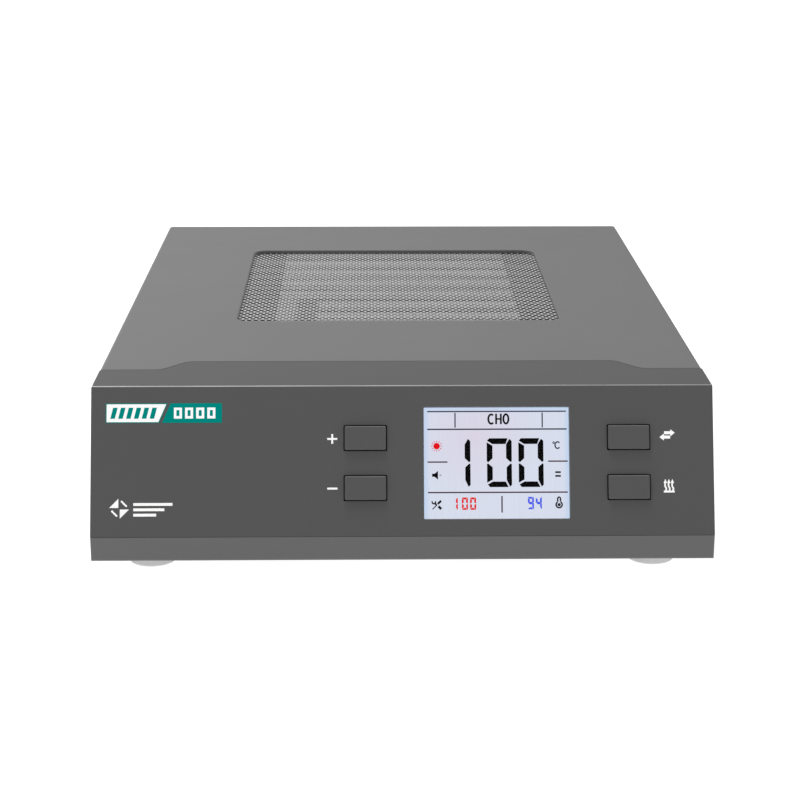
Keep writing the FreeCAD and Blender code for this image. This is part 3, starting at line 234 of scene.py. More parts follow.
def moulding(name, level, roughness):
    """Fine-textured moulded plastic: lighter in patches along the top edge of the face, and the level band
    on top a tenth darker."""
    made = Shader(name)
    tone = made.ramp(made.noise(18.0, 4.0), around(grey(level), 0.012))
    up = made.split(made.normal)["Z"]
    place = made.split(made.coordinates)
    # Painted highlight: the rounded top edge of the face is set lighter (0.58) in patches, at full strength
    # at the left end and half strength at the right end.
    turned = made.product(made.range(up, 0, 1, 0.60, 0.70), made.range(up, 1, 0, 0.90, 0.96))
    near, far = EDGE_REACH - 0.1 * MM, EDGE_REACH + 0.1 * MM
    along_edge = made.product(made.range(place["Z"], 0, 1, TOP_Z - far, TOP_Z - near),
                              made.range(place["Y"], 1, 0, EDGE_Y + near, EDGE_Y + far))
    patchy = made.range(made.noise(30.0, 4.0), 0.7, 1.0, 0.3, 0.6)
    side = made.range(place["X"], 1.0, 0.5, -120 * MM, 120 * MM)
    painted_edge_highlight = made.product(turned, along_edge, patchy, side)
    level_top = made.product(made.range(up, 0, 1, 0.97, 0.99),
                             made.range(place["Z"], 0, 1, TOP_Z - 0.4 * MM, TOP_Z - 0.2 * MM))
    tone = made.mix(level_top, tone, opaque(0.90 * level))
    made.set(Base_Color=made.mix(painted_edge_highlight, tone, opaque(0.58)))
    made.set(Roughness=made.range(made.noise(60.0, 3.0), *roughness))
    made.constant("Specular IOR Level", 0.1)
    made.bump(made.noise(1 / (0.25 * MM), 2.0), 0.08, 0.02 * MM)
    return made.material


def cap_moulding(level):
    """The same plastic on the button caps, lighter in patches along their upper edges."""
    made = Shader("button_moulding")
    tone = made.ramp(made.noise(18.0, 4.0), around(grey(level), 0.012))
    up = made.split(made.normal)["Z"]
    # Painted highlight: the up-facing rounds of the caps' upper edges are set lighter (0.17) in patches.
    painted_cap_highlight = made.product(made.range(up, 0, 1, 0.45, 0.6),
                          made.range(made.noise(40.0, 4.0), 0.75, 1.0, 0.3, 0.6))
    made.set(Base_Color=made.mix(painted_cap_highlight, tone, opaque(0.17)))
    made.set(Roughness=made.range(made.noise(60.0, 3.0), 0.42, 0.48))
    made.constant("Specular IOR Level", 0.1)
    made.bump(made.noise(1 / (0.2 * MM), 2.0), 0.05, 0.02 * MM)
    return made.material


def perforated():
    """Satin stainless sheet. The dark hole walls, darkest beyond the tubes, and the darker strips along the
    front and back are set for the contrast that the holes have at a low angle."""
    made = Shader("perforated_stainless")
    marks = made.noise(400.0, 3.0, 0.6, (1, 12, 1))
    place = made.split(made.coordinates)
    flat = made.range(made.maths("ABSOLUTE", made.split(made.normal)["Z"]), 0, 1, 0.5, 0.9)
    # Painted shadow: the sheet is set darker in a strip along its front, under the window's front rim, and in
    # a strip along its back, under the back rim.
    front = made.range(place["Y"], 0.6, 1.0, guard_low.y + 11.5 * MM, guard_low.y + 13.2 * MM)
    back = made.range(place["Y"], 1.0, 0.6, guard_high.y - 6.5 * MM, guard_high.y - 3.2 * MM)
    # Painted shade: the holes' inner walls are set dark, 0.08 over the tubes and nearly black (0.002) beyond
    # them.
    over_tubes = made.range(made.maths("ABSOLUTE", place["X"]), 1, 0, LIT_HALF - 1 * MM, LIT_HALF + 1 * MM)
    wall = made.mix(over_tubes, opaque(0.002), opaque(0.08))
    sheet = made.ramp(made.noise(35.0), around(grey(0.50), 0.04))
    made.set(Base_Color=made.mix(made.product(flat, front, back), wall, sheet))
    made.set(Metallic=made.range(flat, 0.0, 0.2))
    made.constant("Specular IOR Level", 0.2)
    made.set(Roughness=made.range(marks, 0.38, 0.48))
    made.bump(marks, 0.05, 0.01 * MM)
    return made.material


def two_tone_strap():
    """Steel strap in two tones: only its inner half is dark, because the dark patch in the picture is about
    half as wide as the strap."""
    made = Shader("two_tone_steel")
    marks = made.noise(300.0, 3.0, 0.6, (12, 1, 1))
    middle = centre("probe_strap").x
    # Two plain tones of the steel: dark on the inner half, bright on the outer half; no heat tint is meant.
    dark_half = made.range(made.split(made.coordinates)["X"], 0, 1, middle - 1 * MM, middle + 1 * MM)
    bright = made.ramp(marks, around(grey(0.24), 0.06))
    made.set(Base_Color=made.mix(dark_half, bright, (0.052, 0.05, 0.047, 1)))
    made.set(Roughness=made.range(marks, 0.45, 0.6))
    made.constant("Specular IOR Level", 0.2)
    made.bump(marks, 0.05, 0.01 * MM)
    return made.material


def quartz():
    """Milky quartz with fine drawn streaks. The flanks are set dark, so that the tubes read apart."""
    made = Shader("milky_quartz")
    streaks = made.noise(420.0, 4.0, 0.6, (0.08, 1, 1))
    height = made.split(made.coordinates)["Z"]
    # Painted shade: each tube's flanks below the crest are set nearly black (0.012); only the band near the
    # crest keeps the milky colour.
    lit = made.range(height, 0, 1, TUBE_CREST - 2.6 * MM, TUBE_CREST - 0.7 * MM)
    milk = made.ramp(streaks, [(0.25, grey(0.32)), (0.75, grey(0.42))])
    made.set(Base_Color=made.mix(lit, opaque(0.012), milk))
    made.set(Roughness=made.range(streaks, 0.3, 0.45))
    made.constant("Specular IOR Level", 0.3)
    made.bump(streaks, 0.2, 0.03 * MM)
    return made.material


def white_ink():
    """Opaque white ink, with a little glow so that it comes out fully white."""
    made = Shader("white_print")
    made.set(Base_Color=made.ramp(made.noise(18.0, 4.0), around(grey(0.96), 0.01)))
    made.set(Roughness=made.range(made.noise(60.0, 3.0), 0.5, 0.6))
    made.constant("Specular IOR Level", 0.1)
    made.constant("Emission Color", (1, 1, 1, 1))
    made.constant("Emission Strength", 0.16)
    return made.material


def clear(name, alpha, colour):
    """Clear glass or acrylic seen at this scale: a faint tint and a gloss with slight smears."""
    made = Shader(name)
    smear = made.noise(25.0, 3.0)
    made.set(Base_Color=made.ramp(smear, around(grey(colour), 0.05)))
    made.set(Roughness=made.range(smear, 0.05, 0.09))
    made.constant("Alpha", alpha)
    made.bump(smear, 0.02, 0.02 * MM)
    return made.material


def backlight():
    """Lit display: cool white with a faint rosy patch left of the middle and fine vertical bands."""
    made = Shader("display_backlight")
    patch = on_face(SCREEN_LEFT + 21, SCREEN_TOP + 12, LENS_BACK)
    away = made.tree.nodes.new("ShaderNodeVectorMath")
    away.operation = "DISTANCE"
    made.feed(away.inputs[0], made.coordinates)
    away.inputs[1].default_value = patch
    rosy = made.range(away.outputs["Value"], 1, 0, 2 * MM, 26 * MM)
    tone = made.mix(rosy, (0.712, 0.762, 0.885, 1), (0.740, 0.690, 0.815, 1))
    bands = made.noise(1300.0, 2.0, 0.6, (1, 0.02, 0.02))
    tone = made.mix(made.range(bands, 0, 0.3, 0.35, 0.65), tone, (0.655, 0.685, 0.80, 1))
    low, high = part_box("lcd_panel")
    place = made.split(made.coordinates)
    sides = made.range(made.maths("ABSOLUTE", made.maths("SUBTRACT", place["X"], (low.x + high.x) / 2)),
                       0, 1, (high.x - low.x) / 2 - 2.4 * MM, (high.x - low.x) / 2 - 0.6 * MM)
    top = made.range(place["Z"], 0, 1, high.z - 2.2 * MM, high.z - 0.7 * MM)
    edge = made.product(made.maths("MAXIMUM", sides, top), 0.45)
    tone = made.mix(edge, tone, (0.44, 0.64, 0.92, 1))
    made.constant("Base Color", (0.01, 0.01, 0.01, 1))
    made.constant("Specular IOR Level", 0.0)
    made.set(Roughness=made.range(bands, 0.4, 0.5), Emission_Color=tone)
    made.constant("Emission Strength", 1.0)
    return made.material


def display_ink(name, colour):
    """Dark or coloured part of the display picture, glowing no more than its own colour."""
    made = Shader(name)
    bands = made.noise(1300.0, 2.0, 0.6, (1, 0.02, 0.02))
    made.constant("Base Color", (0.001, 0.001, 0.001, 1))
    made.constant("Specular IOR Level", 0.0)
    made.set(Roughness=made.range(bands, 0.5, 0.6), Emission_Color=made.ramp(bands, around(colour, 0.06)))
    made.constant("Emission Strength", 1.0)
    return made.material


MATERIALS = {
    "cover": cover_coat(0.149),
    "pan": coated("pan_powder_coat", grey(0.130), 0.012, (0.38, 0.44), 0.35, 0.10, 0.3),
    "bezel": moulding("bezel_moulding", 0.105, (0.42, 0.48)),
    "button": cap_moulding(0.105),
    "rubber": coated("foot_rubber", grey(0.71), 0.05, (0.7, 0.85), 0.4, 0.25, 0.25),
    "black": coated("black_moulding", grey(0.018), 0.15, (0.45, 0.6), 0.3, 0.2),
    "rocker": coated("rocker_moulding", grey(0.014), 0.1, (0.2, 0.28), 0.6, 0.05),
    "white": coated("white_moulding", grey(0.65), 0.03),
    "ceramic": coated("end_cap_ceramic", (0.66, 0.62, 0.55), 0.06, (0.7, 0.85), 0.5, 0.3),
    "fibre": coated("ceramic_fibre", (0.74, 0.72, 0.66), 0.1, (0.9, 1.0), 0.6, 1.0),
    "board": coated("solder_mask", (0.02, 0.11, 0.05), 0.2, (0.25, 0.35), 2, 0.1),
    "terminal": coated("terminal_moulding", (0.03, 0.2, 0.07), 0.08),
    "iron": coated("varnished_iron", grey(0.06), 0.2, (0.4, 0.6), 0.7, 0.4),
    "oxidised": coated("heat_resistant_black", grey(0.010), 0.25, (0.6, 0.75), 0.5, 0.3, 0.02),
    "two_tone": two_tone_strap(),
    "red_wire": coated("red_insulation", (0.35, 0.02, 0.02), 0.08, (0.35, 0.45)),
    "green_wire": coated("green_insulation", (0.05, 0.28, 0.04), 0.08, (0.35, 0.45)),
    "white_wire": coated("woven_sleeve", (0.7, 0.68, 0.6), 0.08, (0.8, 0.9), 0.4, 0.8),
    "ribbon": coated("ribbon_insulation", grey(0.4), 0.08),
    "guard": perforated(),
    "stainless": metal("bright_stainless", grey(0.72), (0.22, 0.32), (1, 12, 1), 400.0, 0.05),
    "reflector": metal("polished_reflector", grey(0.8), (0.12, 0.25), (1, 20, 1), 300.0, 0.08),
    "zinc": metal("zinc_plate", (0.6, 0.61, 0.62), (0.35, 0.5), (1, 1, 1), 200.0),
    "nickel": metal("drawn_nickel", (0.55, 0.52, 0.48), (0.3, 0.45)),
    "brass": metal("plated_brass", (0.72, 0.6, 0.36), (0.25, 0.35)),
    "screw": metal("zinc_screw", grey(0.62), (0.25, 0.4), (1, 1, 1), 1500.0),
    "anodised": metal("black_anodised", grey(0.03), (0.4, 0.5), (1, 1, 20), 500.0),
    "quartz": quartz(),
    "lens": clear("clear_lens", 0.025, 0.02),
    "fuse": clear("fuse_glass", 0.35, 0.8),
    "backlight": backlight(),
    "print": white_ink(),
    "teal": coated("teal_print", (0.0, 0.275, 0.24), 0.02, (0.5, 0.6), 0.2, 0.05, 0.0),
    "lcd_black": display_ink("lcd_black", (0.002, 0.002, 0.0025)),
    "lcd_slate": display_ink("lcd_slate", (0.03, 0.04, 0.065)),
    "lcd_maroon": display_ink("lcd_maroon", (0.075, 0.04, 0.06)),
    "lcd_grey": display_ink("lcd_grey", (0.02, 0.022, 0.028)),
    "lcd_red": display_ink("lcd_red", (0.80, 0.004, 0.006)),
    "lcd_blue": display_ink("lcd_blue", (0.07, 0.11, 0.85)),
}

FINISHES = {
    "cover": ["top_cover", "rear_panel"],
    "pan": ["base_pan"],
    "bezel": ["front_bezel"],
    "button": ["button_plus", "button_minus", "button_swap", "button_heat"],
    "rubber": ["foot_front_left", "foot_front_right", "foot_rear_left", "foot_rear_right"],
    "guard": ["guard_mesh"],
    "stainless": ["guard_frame", "thermocouple_probe"],
    "reflector": ["reflector_tray"],
    "fibre": ["insulation_blanket"],
    "zinc": ["heat_shield"],
    "quartz": [f"heater_tube_{number}" for number in range(1, 8)],
    "nickel": ["heating_coils", "bus_bars"],
    "ceramic": ["tube_end_caps"],
    "oxidised": ["tube_bracket_left", "tube_bracket_right"],
    "two_tone": ["probe_strap"],
    "black": ["tact_switches", "plunger_plus", "plunger_minus", "plunger_swap", "plunger_heat", "buzzer",
              "triac", "inlet_housing", "fuse_drawer", "rocker_housing"],
    "rocker": ["power_rocker"],
    "board": ["control_board", "power_board"],
    "lens": ["display_lens"],
    "white": ["lcd_module"],
    "backlight": ["lcd_panel"],
    "brass": ["spacers", "inlet_pins"],
    "iron": ["transformer"],
    "anodised": ["heatsink"],
    "terminal": ["terminal_block"],
    "screw": ["machine_screws", "cover_screws"],
    "red_wire": ["mains_leads"],
    "green_wire": ["earth_lead"],
    "white_wire": ["heater_leads"],
    "ribbon": ["ribbon_cable"],
    "fuse": ["fuse"],
}
for finish, names in FINISHES.items():
    for name in names:
        item = nodes[name]
        item.data.materials.clear()
        item.data.materials.append(MATERIALS[finish])


# ---------------------------------------------------------------- flat marks: each shape is a list of faces

def bar(left, right, top, bottom):
    return [[(left, top), (right, top), (right, bottom), (left, bottom)]]


def polygon(*points):
    return [list(points)]


def disc(x, y, radius, count=24):
    turn = 2 * math.pi / count
    return [[(x + radius * math.cos(i * turn), y + radius * math.sin(i * turn)) for i in range(count)]]


def ribbon(points, width, closed=False):
    """Stroke of even width along points, with mitred corners, as a strip of quads."""
    count = len(points)
    sides = []
    for i, (x, y) in enumerate(points):
        before = points[i - 1] if i or closed else points[i]
        after = points[(i + 1) % count] if i < count - 1 or closed else points[i]
        into = Vector((x - before[0], y - before[1]))
        out = Vector((after[0] - x, after[1] - y))
        into = (into if into.length else out).normalized()
        out = (out if out.length else into).normalized()
        along = (into + out).normalized()
        reach = width / 2 / max(along.dot(into), 0.35)
        sides.append(((x - along.y * reach, y + along.x * reach), (x + along.y * reach, y - along.x * reach)))
    pairs = list(zip(sides, sides[1:] + sides[:1]))
    if not closed:
        pairs.pop()
    return [[a[0], b[0], b[1], a[1]] for a, b in pairs]


def oval(x, y, half_x, half_y, width, start=0.0, end=360.0, count=28):
    """Elliptical stroke, closed when it goes all the way round. Angles from +X towards +Y (down)."""
    closed = end - start >= 360
    steps = count if closed else count + 1
    turn = math.radians(end - start) / count
    first = math.radians(start)
    points = [(x + half_x * math.cos(first + i * turn), y + half_y * math.sin(first + i * turn))
              for i in range(steps)]
    return ribbon(points, width, closed)


def moved(shapes, dx, dy, scale_x=1.0, scale_y=1.0):
    return [[(dx + x * scale_x, dy + y * scale_y) for x, y in face] for face in shapes]


def marks(name, faces, low, high, material, body=CASE, place=on_face, slot=None):
    """Raised marks on a surface: every face of the drawing, thickened between two heights."""
    mesh = bmesh.new()
    for face in faces:
        mesh.faces.new([mesh.verts.new(place(x, y, low)) for x, y in face])
    bmesh.ops.remove_doubles(mesh, verts=mesh.verts, dist=1e-7)
    lift = place(0, 0, high) - place(0, 0, low)
    grown = bmesh.ops.extrude_face_region(mesh, geom=mesh.faces[:], use_keep_orig=True)
    bmesh.ops.translate(mesh, vec=lift, verts=[v for v in grown["geom"] if isinstance(v, bmesh.types.BMVert)])
    bmesh.ops.recalc_face_normals(mesh, faces=mesh.faces)
    return finished(name, mesh, material, body)


def finished(name, mesh, material, body=CASE, smooth=None):
    data = bpy.data.meshes.new(name)
    mesh.to_mesh(data)
    mesh.free()
    piece = bpy.data.objects.new(name, data)
    bpy.context.collection.objects.link(piece)
    data.materials.append(MATERIALS[material])
    if smooth is not None:
        data.polygons.foreach_set("use_smooth", [True] * len(data.polygons))
        data.set_sharp_from_angle(angle=math.radians(smooth))
    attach(piece, body)
    return piece


# ---------------------------------------------------------------- display picture

SEGMENTS = {
    "top": [(0.15, 0.95), (1.0, 0.0), (8.35, 0.0), (7.5, 2.3), (2.3, 2.3)],
    "upper_left": [(0.0, 1.6), (2.3, 2.95), (2.3, 7.95), (0.6, 9.55), (0.0, 9.1)],
    "upper_right": [(8.9, 0.35), (9.3, 0.4), (9.95, 1.15), (9.95, 9.1), (9.45, 9.5), (7.7, 7.85), (7.7, 2.5)],
    "middle": [(0.9, 9.8), (2.5, 8.7), (7.5, 8.7), (9.1, 9.8), (7.5, 10.9), (2.5, 10.9)],
    "lower_left": [(0.1, 10.2), (0.55, 10.0), (2.35, 11.5), (2.35, 16.4), (0.1, 17.65)],
    "lower_right": [(9.5, 10.0), (9.95, 10.3), (9.98, 18.5), (9.2, 19.25), (7.9, 16.6), (7.9, 11.5)],
    "bottom": [(0.4, 18.3), (2.4, 17.2), (7.5, 17.2), (8.65, 19.4), (1.2, 19.4)],
}
DIGITS = {
    "0": ["top", "upper_left", "upper_right", "lower_left", "lower_right", "bottom"],
    "1": ["upper_right", "lower_right"],
    "4": ["upper_left", "upper_right", "middle", "lower_right"],
    "9": ["top", "upper_left", "upper_right", "middle", "lower_right", "bottom"],
}


def bolder(x, y, extra):
    """Moves the inner corners of the segments inwards, for small figures with heavier strokes."""
    if 2.0 < x < 2.6:
        x += extra
    elif 7.4 < x < 8.0:
        x -= extra
    if 2.2 < y < 3.0 or 10.8 < y < 11.0:
        y += extra
    elif 16.3 < y < 17.3 or 8.6 < y < 8.8:
        y -= extra
    return x, y


def digit(figure, x, y, wide=1.0, tall=1.0, extra=0.0):
    segments = [[bolder(*corner, extra) for corner in SEGMENTS[segment]] for segment in DIGITS[figure]]
    return moved(segments, x, y, wide, tall)


def screen(name, faces, material):
    """Part of the display picture, from millimetres right of and below the window's upper left corner."""
    drawn = moved(faces, SCREEN_LEFT, SCREEN_TOP)
    marks(name, drawn, LENS_BACK - 0.09, LENS_BACK - 0.03, material, slot="display")


def display_picture():
    screen("display_header_rules", bar(1.5, 56.8, 1.55, 2.05) + bar(1.5, 57.0, 8.6, 9.15)
           + bar(12.35, 12.85, 2.3, 8.2) + bar(47.05, 47.55, 2.3, 8.2), "lcd_slate")
    screen("display_rules", bar(1.6, 9.5, 21.6, 22.15) + bar(49.5, 57.3, 21.4, 21.95)
           + bar(1.7, 57.2, 33.7, 34.25) + bar(30.75, 31.3, 35.4, 42.0), "lcd_maroon")
    channel = (oval(27.0, 4.85, 1.15, 1.85, 0.76, 50, 310) + ribbon([(28.95, 2.7), (28.95, 6.9)], 0.74)
               + ribbon([(30.85, 2.7), (30.85, 6.9)], 0.74) + bar(29.32, 30.48, 4.48, 5.12)
               + oval(32.85, 4.8, 1.0, 1.85, 0.76))
    screen("display_channel", channel, "lcd_black")
    figures = digit("1", 8.65, 12.5) + digit("0", 25.1, 12.5) + digit("0", 37.7, 12.5)
    screen("display_figures", figures, "lcd_black")
    low = (0.24, 0.253, 0.8)
    screen("display_set_value", digit("1", 11.1, 35.95, *low) + digit("0", 15.1, 35.95, *low)
           + digit("0", 18.35, 35.95, *low), "lcd_red")
    screen("display_actual_value", digit("9", 41.3, 35.8, *low) + digit("4", 44.45, 35.8, *low), "lcd_blue")
    rays = []
    for step in range(12):
        angle = math.radians(step * 30)
        rays += disc(5.2 + 1.9 * math.cos(angle), 15.55 + 1.9 * math.sin(angle), 0.24, 8)
    screen("display_heat_mark", disc(5.2, 15.55, 1.3) + rays, "lcd_red")
    speaker = polygon((3.35, 26.5), (4.3, 26.5), (5.7, 25.4), (5.7, 28.8), (4.3, 27.7), (3.35, 27.7))
    screen("display_speaker_mark", speaker, "lcd_black")
    mute = ribbon([(6.4, 26.75), (7.05, 27.4)], 0.2) + ribbon([(6.4, 27.4), (6.58, 27.22)], 0.2)
    unit = oval(51.75, 14.3, 0.34, 0.34, 0.3, count=12) + oval(53.3, 15.3, 1.0, 1.3, 0.52, 40, 320)
    screen("display_unit", mute + unit, "lcd_grey")
    screen("display_level_mark", bar(52.3, 54.5, 25.7, 26.4) + bar(52.3, 54.5, 27.2, 27.9), "lcd_black")
    driver = polygon((6.55, 36.9), (7.15, 37.5), (5.85, 38.8), (5.25, 38.2)) \
        + ribbon([(5.3, 38.75), (3.45, 40.6)], 0.4)
    spanner = oval(4.0, 37.75, 0.66, 0.66, 0.55, -30, 210, 14) + ribbon([(4.4, 38.2), (5.0, 38.8)], 0.7) \
        + ribbon([(5.8, 39.4), (6.9, 40.5)], 1.0)
    screen("display_tool_mark", driver + spanner, "lcd_black")
    bulb = oval(53.7, 38.95, 1.2, 1.2, 0.62, -62, 242) + disc(53.7, 38.95, 0.65, 14)
    stem = ribbon([(53.15, 37.75), (53.15, 36.45), (53.35, 36.1), (53.7, 35.95), (54.05, 36.1),
                   (54.25, 36.45), (54.25, 37.75)], 0.6)
    screen("display_sensor_mark", bulb + stem, "lcd_grey")


# ---------------------------------------------------------------- printing on the face

def printing():
    def printed(name, faces, material, low=0.0, high=0.04):
        marks(name, faces, low, high, material)

    printed("plus_mark", bar(-29.95, -26.0, 20.85, 21.6) + bar(-28.35, -27.6, 19.3, 20.85)
            + bar(-28.35, -27.6, 21.6, 23.15), "print")
    printed("minus_mark", bar(-29.95, -25.95, 40.5, 41.25), "print")
    swap = polygon((103.75, 18.65), (106.25, 18.65), (106.25, 17.9), (108.0, 19.25), (106.25, 20.6),
                   (106.25, 19.85), (103.75, 19.85))
    back = polygon((106.15, 20.35), (103.65, 20.35), (103.65, 19.6), (101.85, 20.95), (103.65, 22.3),
                   (103.65, 21.55), (106.15, 21.55))
    printed("swap_mark", swap + back, "print")
    wave = [(0.35, 4.55), (0.62, 3.95), (0.62, 3.55), (0.2, 2.85), (0.1, 2.35), (0.22, 1.3)]
    heat = bar(103.3, 107.6, 42.2, 42.95)
    for x in (103.55, 104.95, 106.35):
        heat += moved(ribbon(wave, 0.65), x + 0.15, 37.7)
        heat += polygon((x + 0.42, 37.6), (x + 1.1, 39.2), (x - 0.3, 39.2))
    printed("heat_mark", heat, "print")
    badge(printed)
    corner(printed)


def badge(printed):
    """Two-part badge: slanted bars on a white panel, and square rings on a teal one."""
    left, top, bottom = -117.5, 6.9, 14.65
    border = 0.35
    inner_top, inner_bottom = top + border, bottom - border
    rim = polygon((left, top), (left + 24.4, top), (left + 21.0, bottom), (left, bottom))
    printed("badge_rim", rim, "teal", 0.0, 0.05)
    panel = polygon((left + border, inner_top), (left + 23.85, inner_top),
                    (left + 20.75, inner_bottom), (left + border, inner_bottom))
    printed("badge_panel", panel, "print", 0.05, 0.08)
    inset, lean, wide = 1.7, 1.1, 1.8
    slanted = []
    for step in range(6):
        x = left + 1.8 + step * 3.1
        slanted += polygon((x + lean, top + inset), (x + lean + wide, top + inset),
                           (x + wide, bottom - inset), (x, bottom - inset))
    printed("badge_bars", slanted, "teal", 0.08, 0.11)
    tab = polygon((left + 25.6, top), (left + 45.9, top), (left + 45.9, bottom), (left + 22.2, bottom))
    printed("badge_tab", tab, "teal", 0.0, 0.05)
    inset = 2.2
    tiles = []
    for step in range(4):
        x = left + 26.9 + step * 4.4
        tiles += ribbon([(x + 0.5, top + inset), (x + 2.7, top + inset), (x + 2.7, bottom - inset),
                         (x + 0.5, bottom - inset)], 1.0, True)
    printed("badge_tiles", tiles, "print", 0.05, 0.08)


def corner(printed):
    """Plain mark at the lower left: a split diamond beside three bars."""
    x, y = -112.0, 48.5
    gap, tip = 0.3, 3.9
    diamond = polygon((x - gap, y - tip), (x - gap, y - gap), (x - tip, y - gap)) \
        + polygon((x + gap, y + tip), (x + gap, y + gap), (x + tip, y + gap)) \
        + ribbon([(x + 0.8, y - 3.0), (x + 3.0, y - 0.8)], 0.7) \
        + ribbon([(x - 0.8, y + 3.0), (x - 3.0, y + 0.8)], 0.7)
    printed("corner_mark", diamond, "print")
    start, top, pitch, thick = -106.4, 46.3, 2.1, 1.1
    lines = []
    for step, reach in enumerate((15.4, 12.2, 9.0)):
        lines += bar(start, start + reach, top + step * pitch, top + step * pitch + thick)
    printed("corner_lines", lines, "print")


# ---------------------------------------------------------------- screws

SCREW_RADIUS = 2.9 * MM
HEAD_HEIGHT = 1.7 * MM
SHANK_RADIUS = 1.45 * MM
SHANK_LENGTH = 4 * MM
RIM_HEIGHT = 6.5 * MM        # of the side and rear screws, above the pan's underside
DOWN, UP, REARWARD = (0, 0, -1), (0, 0, 1), (0, 1, 0)
STEPS = 32
TURNS = [2 * math.pi * i / STEPS for i in range(STEPS)]


def cross_point(turn, recess, slot):
    """Point of the cross-shaped recess's outline in the direction of an angle."""
    x, y = math.cos(turn), math.sin(turn)
    big, small = max(abs(x), abs(y)), min(abs(x), abs(y))
    along = recess / big
    beside = slot / small if small > 1e-6 else along
    limit = min(along, max(beside, slot * math.sqrt(2)))
    return x * limit, y * limit


def screw_head(mesh, seat, axis, height=HEAD_HEIGHT):
    """Pan-head screw with a cross recess. The seat is under the head, and the axis points out of the head."""
    start = len(mesh.verts)

    def ring(points, level):
        return [mesh.verts.new((x, y, level)) for x, y in points]

    def circle(radius):
        return [(radius * math.cos(turn), radius * math.sin(turn)) for turn in TURNS]

    def skirt(low, high):
        for i in range(STEPS):
            j = (i + 1) % STEPS
            mesh.faces.new((low[i], low[j], high[j], high[i]))

    profile = ((1.0, 0.0), (1.0, 0.35), (0.96, 0.62), (0.86, 0.83), (0.72, 0.95))
    rings = [ring(circle(SCREW_RADIUS * reach), height * level) for reach, level in profile]
    cross = [cross_point(turn, 0.62 * SCREW_RADIUS, 0.16 * SCREW_RADIUS) for turn in TURNS]
    rings.append(ring(cross, height))
    rings.append(ring([(0.8 * x, 0.8 * y) for x, y in cross], 0.45 * height))
    for low, high in zip(rings, rings[1:]):
        skirt(low, high)
    mesh.faces.new(rings[-1])
    neck = ring(circle(SHANK_RADIUS), 0)
    tip = ring(circle(SHANK_RADIUS), -SHANK_LENGTH)
    skirt(neck, rings[0])
    skirt(tip, neck)
    mesh.faces.new(tip[::-1])
    mesh.verts.ensure_lookup_table()
    stand = Vector(axis).to_track_quat("Z", "Y").to_matrix().to_4x4()
    bmesh.ops.transform(mesh, matrix=Matrix.Translation(seat) @ stand, verts=mesh.verts[start:])


def screws(name, places, replaced):
    """One piece of screw heads, in place of a CAD node. Each place is a seat, an axis and a head height."""
    mesh = bmesh.new()
    for place in places:
        screw_head(mesh, *place)
    bmesh.ops.recalc_face_normals(mesh, faces=mesh.faces)
    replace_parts(finished(name, mesh, "screw", smooth=35), replaced)


def all_screws():
    middle_y = centre("guard_mesh").y
    foot_seat, front_head, side_head = 4.5 * MM, 1.0 * MM, 0.8 * MM
    sides = (-1, 1)
    feet = [centre(name) for name in FINISHES["rubber"]]
    power = [(side * 76 * MM, EDGE_Y + y * MM) for side in sides for y in (34, 82)]
    shield = [(side * 70 * MM, middle_y + end * 60 * MM) for side in sides for end in (-1, 1)]
    board_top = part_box("power_board")[1].z
    places = [((spot.x, spot.y, foot_seat), DOWN) for spot in feet]
    places += [((side * 62 * MM, FRONT_Y + 7 * MM, BASE_Z), DOWN, front_head) for side in sides]
    places += [((x, y, BASE_Z), DOWN) for x, y in power + shield]
    places += [((x, y, board_top), UP) for x, y in power]
    places += [((x * MM, BACK_Y, BASE_Z + RIM_HEIGHT), REARWARD) for x in (-100, -30, 10, 110)]
    places += [(on_face(x, down, -12), -OUTWARD) for x in (-36, 108) for down in (6, 53)]
    screws("cross_head_screws", places, "machine_screws")
    places = [((side * bezel_high.x, y, BASE_Z + RIM_HEIGHT), (side, 0, 0), side_head)
              for y in (EDGE_Y + 45 * MM, middle_y, BACK_Y - 20 * MM) for side in sides]
    screws("low_head_screws", places, "cover_screws")


# ---------------------------------------------------------------- floor, light and camera

FLOOR_SIZE = 80              # metres, so that low views don't see its end
FLOOR_GLOW = 0.95
SKY = 0.47                   # even light from all round


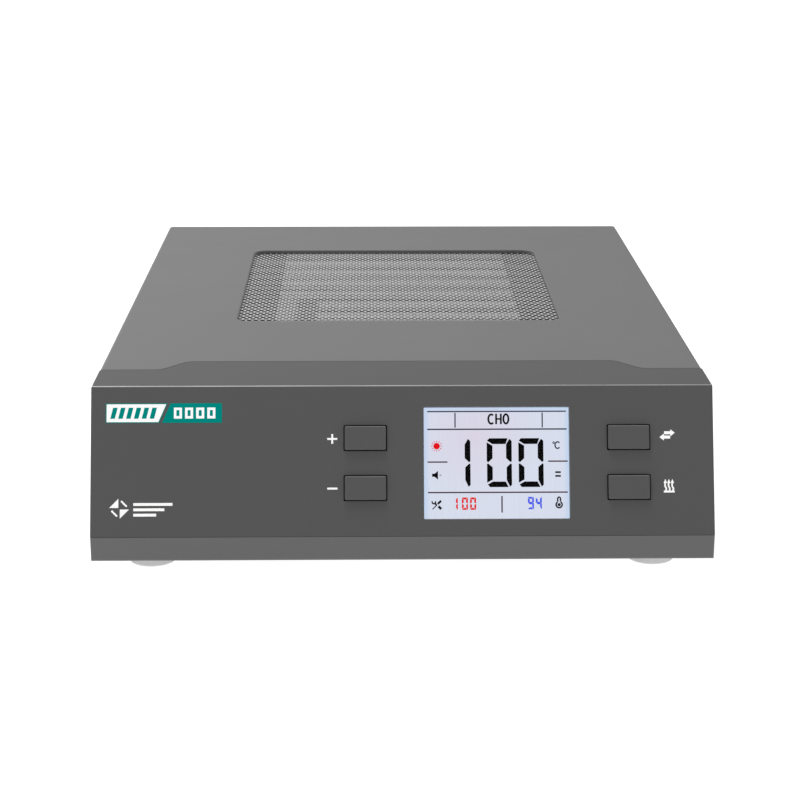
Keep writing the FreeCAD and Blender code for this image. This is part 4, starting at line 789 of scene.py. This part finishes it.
def stage_floor():
    """Pale paper that glows enough to come out shadowless."""
    made = Shader("floor_paper")
    made.set(Base_Color=made.ramp(made.noise(4.0), [(0.3, grey(0.34)), (0.7, grey(0.36))]))
    made.constant("Roughness", 0.9)
    made.constant("Specular IOR Level", 0.1)
    made.constant("Emission Color", (1, 1, 1, 1))
    made.constant("Emission Strength", FLOOR_GLOW)
    bpy.ops.mesh.primitive_plane_add(size=FLOOR_SIZE, location=(0, 0, cad_box[0][2]))
    floor = bpy.context.object
    floor.name = "floor"
    floor.data.materials.append(made.material)


def area_light(name, place, target, size, power):
    light = bpy.data.lights.new(name, "AREA")
    light.shape = "RECTANGLE"
    light.size, light.size_y = size
    light.energy = power
    holder = bpy.data.objects.new(name, light)
    bpy.context.collection.objects.link(holder)
    holder.location = place
    holder.rotation_euler = (Vector(target) - Vector(place)).to_track_quat("-Z", "Y").to_euler()


def lighting():
    """Even sky, a soft key from behind the left shoulder of the case, and a soft light overhead."""
    world = bpy.data.worlds.new("studio")
    world.use_nodes = True
    world.node_tree.nodes["Background"].inputs["Color"].default_value = (1, 1, 1, 1)
    world.node_tree.nodes["Background"].inputs["Strength"].default_value = SKY
    bpy.context.scene.world = world
    area_light("key", (-0.45, 0.38, 0.62), (0, 0.02, 0.07), (0.35, 0.35), 3.0)
    area_light("overhead", (-0.11, -0.02, 0.93), (0, -0.1, 0.05), (0.35, 0.2), 4.6)
    bpy.context.scene.view_settings.view_transform = "Standard"


def camera():
    """Long lens, a little above the case, looking slightly down and to the right."""
    yaw, pitch, roll = 0.0168, 0.295, 0.0017
    right = Vector((math.cos(yaw), -math.sin(yaw), 0))
    forward = Vector((math.sin(yaw) * math.cos(pitch), math.cos(yaw) * math.cos(pitch), -math.sin(pitch)))
    upward = right.cross(forward)
    across = math.cos(roll) * right + math.sin(roll) * upward
    over = math.cos(roll) * upward - math.sin(roll) * right
    data = bpy.data.cameras.new("camera")
    data.sensor_width = 36
    data.lens = 85.3
    data.clip_end = 200
    holder = bpy.data.objects.new("camera", data)
    bpy.context.collection.objects.link(holder)
    place = Vector((-13.16 * MM, EDGE_Y - 721.70 * MM, TOP_Z + 213.23 * MM))
    turn = Matrix((across, over, -forward)).transposed()
    holder.matrix_world = Matrix.Translation(place) @ turn.to_4x4()
    bpy.context.scene.camera = holder


display_picture()
printing()
all_screws()
stage_floor()
lighting()
camera()
